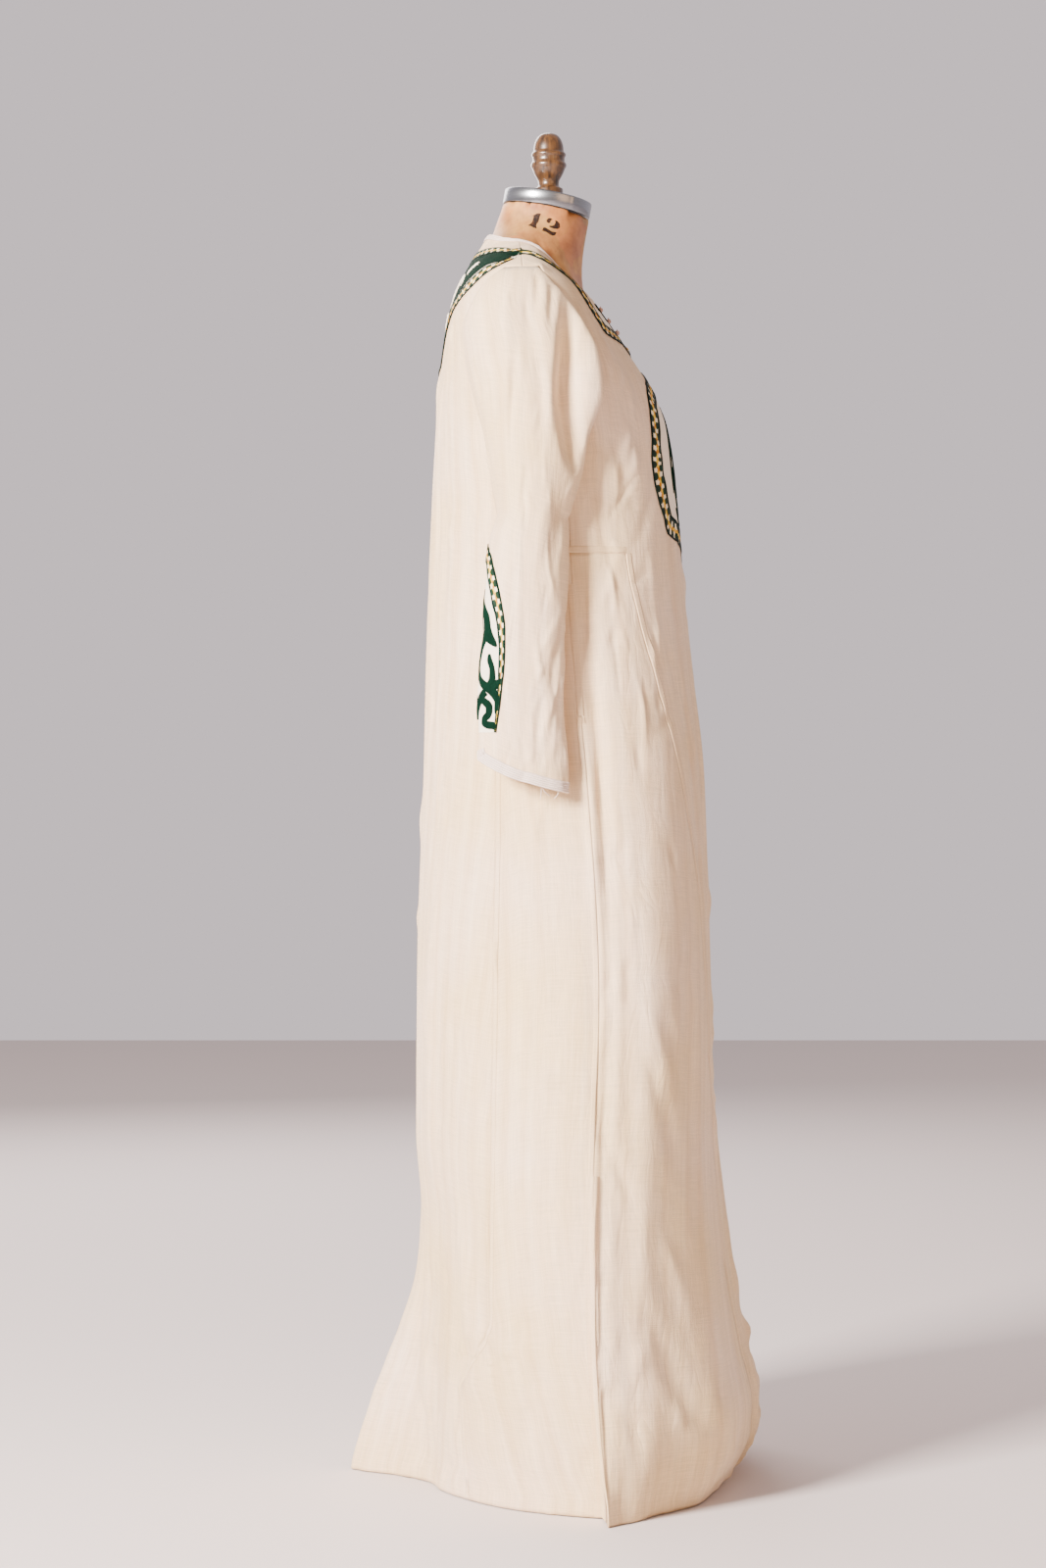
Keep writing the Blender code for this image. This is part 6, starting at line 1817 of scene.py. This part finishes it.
count = 120
even_low, _ = resampled(shield, body, 0.002)
low_line = np.stack([evenly(even_low[:, i], count) for i in (0, 1)], axis=-1)
even_high, _ = resampled(neck_low, body, 0.002)
high_line = np.stack([evenly(even_high[:, i], count) for i in (0, 1)], axis=-1)
white_field = field_between(low_line, high_line, 2, WHITE_FIELD_LIFT)
beyond_band = evenly(shield_width, count)[::-1] + FIELD_GAP
inner_low = beside(low_line[::-1], body, [beyond_band])[0][::-1]
inner_low[:, 0] = np.minimum(inner_low[:, 0], 180)
inner_high = high_line.copy()
inner_high[:, 1] -= 0.0010
keep = inner_high[:, 1] > inner_low[:, 1] + 0.0012
green_field = field_between(inner_low[keep], inner_high[keep], 1, GREEN_FIELD_LIFT)


def back_chart(x, z, lift):
    """Places on the back by distance across, on the wearer's right over 0, and height."""
    angle = 180 - np.abs(angle_at_x(np.abs(x) + 1e-6, z, True) % 360 - 180)
    half = read(BODY_ROWS, 4, z)
    power = read(BODY_ROWS, 7, z)
    turn = 180 - np.degrees(np.arcsin(np.clip(np.abs(x) / half, 0, 1) ** (power / 2)))
    return skin(np.where(x >= 0, turn, 360 - turn), z, lift)


YOKE_STROKES = (
    ((12, 1.310, 0.5), (20, 1.318, 1.8), (30, 1.326, 2.2), (40, 1.327, 2.0), (46, 1.321, 1.4),
     (42, 1.316, 0.5)),
    ((58, 1.322, 0.5), (66, 1.330, 2.0), (76, 1.336, 2.4), (86, 1.336, 2.0), (92, 1.330, 1.2),
     (87, 1.326, 0.5)),
    ((104, 1.336, 0.6), (110, 1.342, 1.8), (118, 1.345, 1.8), (125, 1.344, 0.7)),
    ((3, 1.285, 0.5), (8, 1.296, 1.8), (14, 1.303, 1.8), (19, 1.301, 1.2), (17, 1.296, 0.5)),
)
yoke_parts = [yoke_top, yoke_low, white_field, green_field]
for knots in YOKE_STROKES:
    yoke_parts.append(facing_out(stroke_part(knots, back_chart, 2, base=CURL_LIFT), from_axis))
yoke = joined("back_yoke_embroidery", yoke_parts + mirrored_parts(yoke_parts), "stitch")
wear_floss(yoke)
finish_piece(yoke, "embroidery", "back_yoke")

# Sleeve arches: a tall pointed arch over each cuff, astride the back fold, with a band down
# its outer edge that thins towards the cuff, and a green scroll on a white ground
ARCH_ROWS = (
    (0.8290, 0.0275),
    (0.8700, 0.0335),
    (0.9150, 0.0350),
    (0.9400, 0.0345),
    (0.9550, 0.0325),
    (0.9780, 0.0280),
    (1.0020, 0.0220),
    (1.0205, 0.0150),
    (1.0300, 0.0060),
    (1.0340, 0.0010),
)
ARCH_BAND_ROWS = (
    (0.8290, 0.0010),
    (0.8578, 0.0030),
    (0.8777, 0.0036),
    (0.8976, 0.0048),
    (0.9172, 0.0060),
    (0.9370, 0.0076),
    (0.9568, 0.0092),
    (0.9766, 0.0112),
    (0.9964, 0.0130),
    (1.0340, 0.0140),
)
ARCH_STROKE_WIDTH = 1.55
ARCH_SPREAD = (1.55, 0.9)
ARCH_CORD = 0.8
table_z = np.linspace(0.800, 1.045, 50)
table_turn = np.linspace(-100, 100, 161)
table_points = sleeve(table_turn[None, :], table_z[:, None])
table_along = np.concatenate(
    [np.zeros((50, 1)), np.cumsum(np.linalg.norm(np.diff(table_points, axis=1), axis=-1), axis=1)], axis=1
)
table_along -= table_along[:, 80:81]


def turn_at(distance, z):
    """How far round the sleeve a distance from its back fold lies, the outer side ahead."""
    distance, z = np.broadcast_arrays(np.asarray(distance, float), np.asarray(z, float))
    row = np.clip((z - table_z[0]) / (table_z[1] - table_z[0]), 0, 48.999)
    low = row.astype(int)
    turns = np.empty(distance.shape)
    for index in np.unique(low):
        here = low == index
        lower = np.interp(distance[here], table_along[index], table_turn)
        upper = np.interp(distance[here], table_along[index + 1], table_turn)
        turns[here] = lower + (upper - lower) * (row[here] - index)
    return turns


def arch_chart(distance, z, lift):
    return sleeve_skin(turn_at(distance, z), z, lift)


SLEEVE_MIDDLE = (-0.218, 0.032, 0)


def from_sleeve(points):
    """The middle of the right sleeve at each point's height."""
    return points * (0, 0, 1) + SLEEVE_MIDDLE


arch_z = np.linspace(0.829, 1.0338, 90)
arch_half = read(ARCH_ROWS, 1, arch_z)
arch_band_width = np.minimum(read(ARCH_BAND_ROWS, 1, arch_z), arch_half * 0.9)
outer_edge = np.stack([turn_at(arch_half, arch_z), arch_z], axis=-1)
inner_edge = np.stack([turn_at(-arch_half, arch_z), arch_z], axis=-1)
outer_band = facing_out(band_part(outer_edge, sleeve, sleeve_skin, arch_band_width), from_sleeve)
inner_width = np.minimum(0.012, arch_half * 0.9)
inner_band = facing_out(band_part(inner_edge[::-1], sleeve, sleeve_skin, inner_width[::-1]), from_sleeve)
arch_shares = np.linspace(-1, 1, 31)[:, None]
ground = arch_chart(arch_shares * arch_half, arch_z[None] + 0 * arch_shares, np.full((31, 90), GROUND_LIFT))
ground = facing_out((ground, strip_faces(31, 90), 2, np.zeros((31 * 90, 2))), from_sleeve)
ARCH_STROKES = (
    ((0.5, 0.984, 0.4), (1.0, 0.972, 0.8), (3.5, 0.961, 2.8), (6.5, 0.951, 3.9), (8.0, 0.940, 3.7),
     (10.5, 0.931, 3.4), (14.0, 0.925, 2.4), (16.5, 0.921, 0.7)),
    ((8.0, 0.944, 3.2), (7.0, 0.934, 3.2), (4.5, 0.922, 2.4), (2.0, 0.910, 1.7), (0.8, 0.902, 1.1),
     (2.4, 0.892, 1.6), (6.0, 0.883, 2.6), (12.0, 0.876, 3.4)),
    ((11.5, 0.875, 3.2), (14.5, 0.885, 2.6), (14.2, 0.897, 2.1), (12.0, 0.906, 1.9), (11.4, 0.913, 0.8)),
    ((11.0, 0.875, 3.0), (16.5, 0.879, 3.2), (20.0, 0.884, 2.2), (22.5, 0.887, 0.7)),
    ((11.5, 0.877, 2.8), (16.5, 0.871, 3.1), (19.6, 0.863, 2.4), (20.4, 0.854, 1.5), (19.8, 0.849, 0.6)),
    ((10.0, 0.873, 3.0), (6.0, 0.867, 3.1), (3.0, 0.859, 2.8), (1.2, 0.850, 2.0), (0.2, 0.843, 0.7)),
    ((5.0, 0.865, 2.2), (9.6, 0.862, 2.6), (13.0, 0.857, 2.7), (12.6, 0.849, 2.5), (9.6, 0.844, 2.3),
     (9.0, 0.839, 2.2), (12.4, 0.837, 2.8), (16.6, 0.836, 2.4), (19.6, 0.832, 0.7)),
)
arch_parts = [ground, outer_band, inner_band]
for way, spread in zip((1, -1), ARCH_SPREAD):
    for knots in ARCH_STROKES:
        turned_knots = []
        for x, z, half in knots:
            limit = 1000 * float(np.interp(z, arch_z, arch_half)) - 3
            turned_knots.append((way * min(x * spread, limit), z, half * ARCH_STROKE_WIDTH))
        arch_parts.append(facing_out(stroke_part(turned_knots, arch_chart, 1), from_sleeve))
    for inset in (0 * arch_half, arch_band_width):
        outline = [(way * 1000 * x, z, ARCH_CORD) for x, z in zip(arch_half - inset, arch_z)][::3]
        arch_parts.append(facing_out(stroke_part(outline, arch_chart, 1, per_knot=3), from_sleeve))
for side in ("right", "left"):
    parts = mirrored_parts(arch_parts) if side == "left" else arch_parts
    piece = joined(f"sleeve_arch_{side}_embroidery", parts, "stitch")
    wear_floss(piece)
    finish_piece(piece, "embroidery", f"sleeve_arch_{side}")

# Cuff braids: a broader braid of white cords round each slanting cuff, its ends frayed into a
# few loose threads
cuff_turns = np.linspace(4, 356, 180)
cuff_path = np.stack([cuff_turns, cuff_z(cuff_turns)], axis=-1)
cuff_braid = facing_out(braid_strip(cuff_path, sleeve, sleeve_skin, CUFF_BRAID, 5), from_sleeve)


def cord_part(points, radius, finish=0, sides=7):
    """A thin round cord along some points, as a mesh part, its ends closed to a point."""
    points = np.asarray(points, float)
    ahead = np.gradient(points, axis=0)
    ahead /= np.linalg.norm(ahead, axis=-1, keepdims=True)
    side = np.cross(ahead, (0.31, 0.22, 0.93))
    side /= np.linalg.norm(side, axis=-1, keepdims=True)
    up = np.cross(side, ahead)
    thick = np.full(len(points), radius)
    thick[[0, -1]] = radius * 0.1
    turn = np.linspace(0, 2 * math.pi, sides + 1)[:, None, None]
    rings = points + (np.cos(turn) * side + np.sin(turn) * up) * thick[:, None]
    along = np.broadcast_to(steps_along(points), rings.shape[:2])
    uv = np.stack([np.broadcast_to(turn[:, :, 0] * radius, rings.shape[:2]), along], axis=-1)
    return (rings, strip_faces(sides + 1, len(points))[:, ::-1], finish, uv)


# Loose ends of the braid: where each starts in y, how far it leans, and its hanging length
FRAY_CORD = 0.0004
FRAY_X = -0.2392
FRAY_BACK_Z = 0.7705
FRAY_FRONT_Z = 0.7660
FRAY_ROWS = ((0.0120, 0.0004, 0.014), (0.0105, -0.0030, 0.010), (-0.0060, 0.0016, 0.008))
frayed = []
for start_y, lean, length in FRAY_ROWS:
    share = np.linspace(0, 1, 9)
    start_z = FRAY_BACK_Z if start_y > 0 else FRAY_FRONT_Z
    x = FRAY_X - 0.0016 * np.sin(share * 3)
    hanging = np.stack([x, start_y + lean * share**2 * 3, start_z - length * share], axis=-1)
    frayed.append(cord_part(hanging, FRAY_CORD))
for side in ("right", "left"):
    parts = [cuff_braid, *frayed]
    parts = mirrored_parts(parts) if side == "left" else parts
    piece = joined(f"cuff_braid_{side}_cords", parts, "braid")
    wear_material(piece, braid_cotton)
    finish_piece(piece, "braid", f"cuff_braid_{side}")

# Placket: a folded strip of the same cotton that stands out from under the neck slit's edge
PLACKET_FOOT_Z = 1.2745
PLACKET_TOP_Z = 1.3150
PLACKET_REACH = 0.0060
PLACKET_THICK = 0.0012
PLACKET_TUCK = 0.0015
share = np.linspace(0, 1, 28)
placket_z = PLACKET_FOOT_Z + (PLACKET_TOP_Z - PLACKET_FOOT_Z) * share
edge_y = body(0.0, placket_z)[:, 1]
front_y = edge_y - PLACKET_REACH * np.sin(math.pi / 2 * np.minimum(share / 0.78, 1)) * (1 - 0.25 * share**4)
rows = []
for step in np.linspace(0, 1, 9):
    y = edge_y + PLACKET_TUCK + (front_y - edge_y - PLACKET_TUCK) * step
    x = -PLACKET_THICK / 2 - 0.0006 * math.sin(math.pi * step) + 0.0003 * np.sin(placket_z * 700) * step
    rows.append(np.stack([x + 0 * y, y, placket_z], axis=-1))
placket_points = np.array(rows)
placket = mesh_piece(
    "neck_placket_cloth", placket_points.reshape(-1, 3), strip_faces(9, 28),
    cut_map(placket_points, 0).reshape(-1, 2),
)
give_thickness(placket, PLACKET_THICK)
wear_material(placket, cotton)
finish_piece(placket, "cloth", "neck_placket")

# Buttons: three small balls worked over with braid thread, and a loop of thin cord for each,
# sewn to the other side of the slit
BUTTON_HEIGHTS = (1.306, 1.293, 1.280)
BUTTON_ANGLE = 2.4
BUTTON_RADIUS = 0.0030
BUTTON_LIFT = 0.0016
LOOP_CORD = 0.0006
LOOP_RADIUS = 0.0039
LOOP_END_X = 0.0060
LOOP_END_TUCK = 0.0012
thread_ball, tree, shader = new_material("pink_tinged_thread_ball", 0.66, Sheen_Weight=0.2)
place = node(tree, "TexCoord").outputs["Object"]
wound = node(tree, "TexNoise", {"Vector": place, "Scale": 1100.0, "Detail": 2.0})
tone = node(tree, "MixRGB", {0: wound.outputs["Fac"], 1: colour("#8e5a4c"), 2: colour("#e3c2b2")})
feed(tone, shader, "Base Color")
bump = node(tree, "Bump", {"Strength": 0.8, "Distance": 0.0004, "Height": wound.outputs["Fac"]})
feed(bump, shader, "Normal")
for number, height in enumerate(BUTTON_HEIGHTS, 1):
    normal = body_normal(BUTTON_ANGLE, np.array(height))
    centre = body(BUTTON_ANGLE, np.array(height)) + normal * (BUTTON_LIFT + BUTTON_RADIUS)
    bpy.ops.object.select_all(action="DESELECT")
    bpy.ops.mesh.primitive_ico_sphere_add(subdivisions=4, radius=BUTTON_RADIUS, location=(0, 0, 0))
    ball = bpy.context.object
    ball.name = f"thread_ball_{number}"
    for vertex in ball.data.vertices:
        lean = vertex.co.normalized()
        around = math.atan2(lean.y, lean.x)
        vertex.co *= 1 + 0.035 * math.sin(around * 9 + lean.z * 6) * (1 - lean.z**2)
    bpy.ops.object.shade_smooth()
    ball.data.transform(Matrix.Translation(Vector(centre.tolist())))
    wear_material(ball, thread_ball)
    finish_piece(ball, "braid", f"button_{number}")
    turns = np.radians(np.arange(-50, 231, 20))
    ring = [centre + LOOP_RADIUS * np.array([-math.cos(t), 0, math.sin(t)]) for t in turns]
    ends = [(LOOP_END_X, y + LOOP_END_TUCK, z) for _, y, z in (ring[0], ring[-1])]
    loop_points = [ends[0], *ring, ends[1]]
    loop = joined(f"button_loop_{number}_cord", [cord_part(loop_points, LOOP_CORD, sides=9)], "braid")
    wear_material(loop, thread_ball)
    finish_piece(loop, "braid", f"button_loop_{number}")
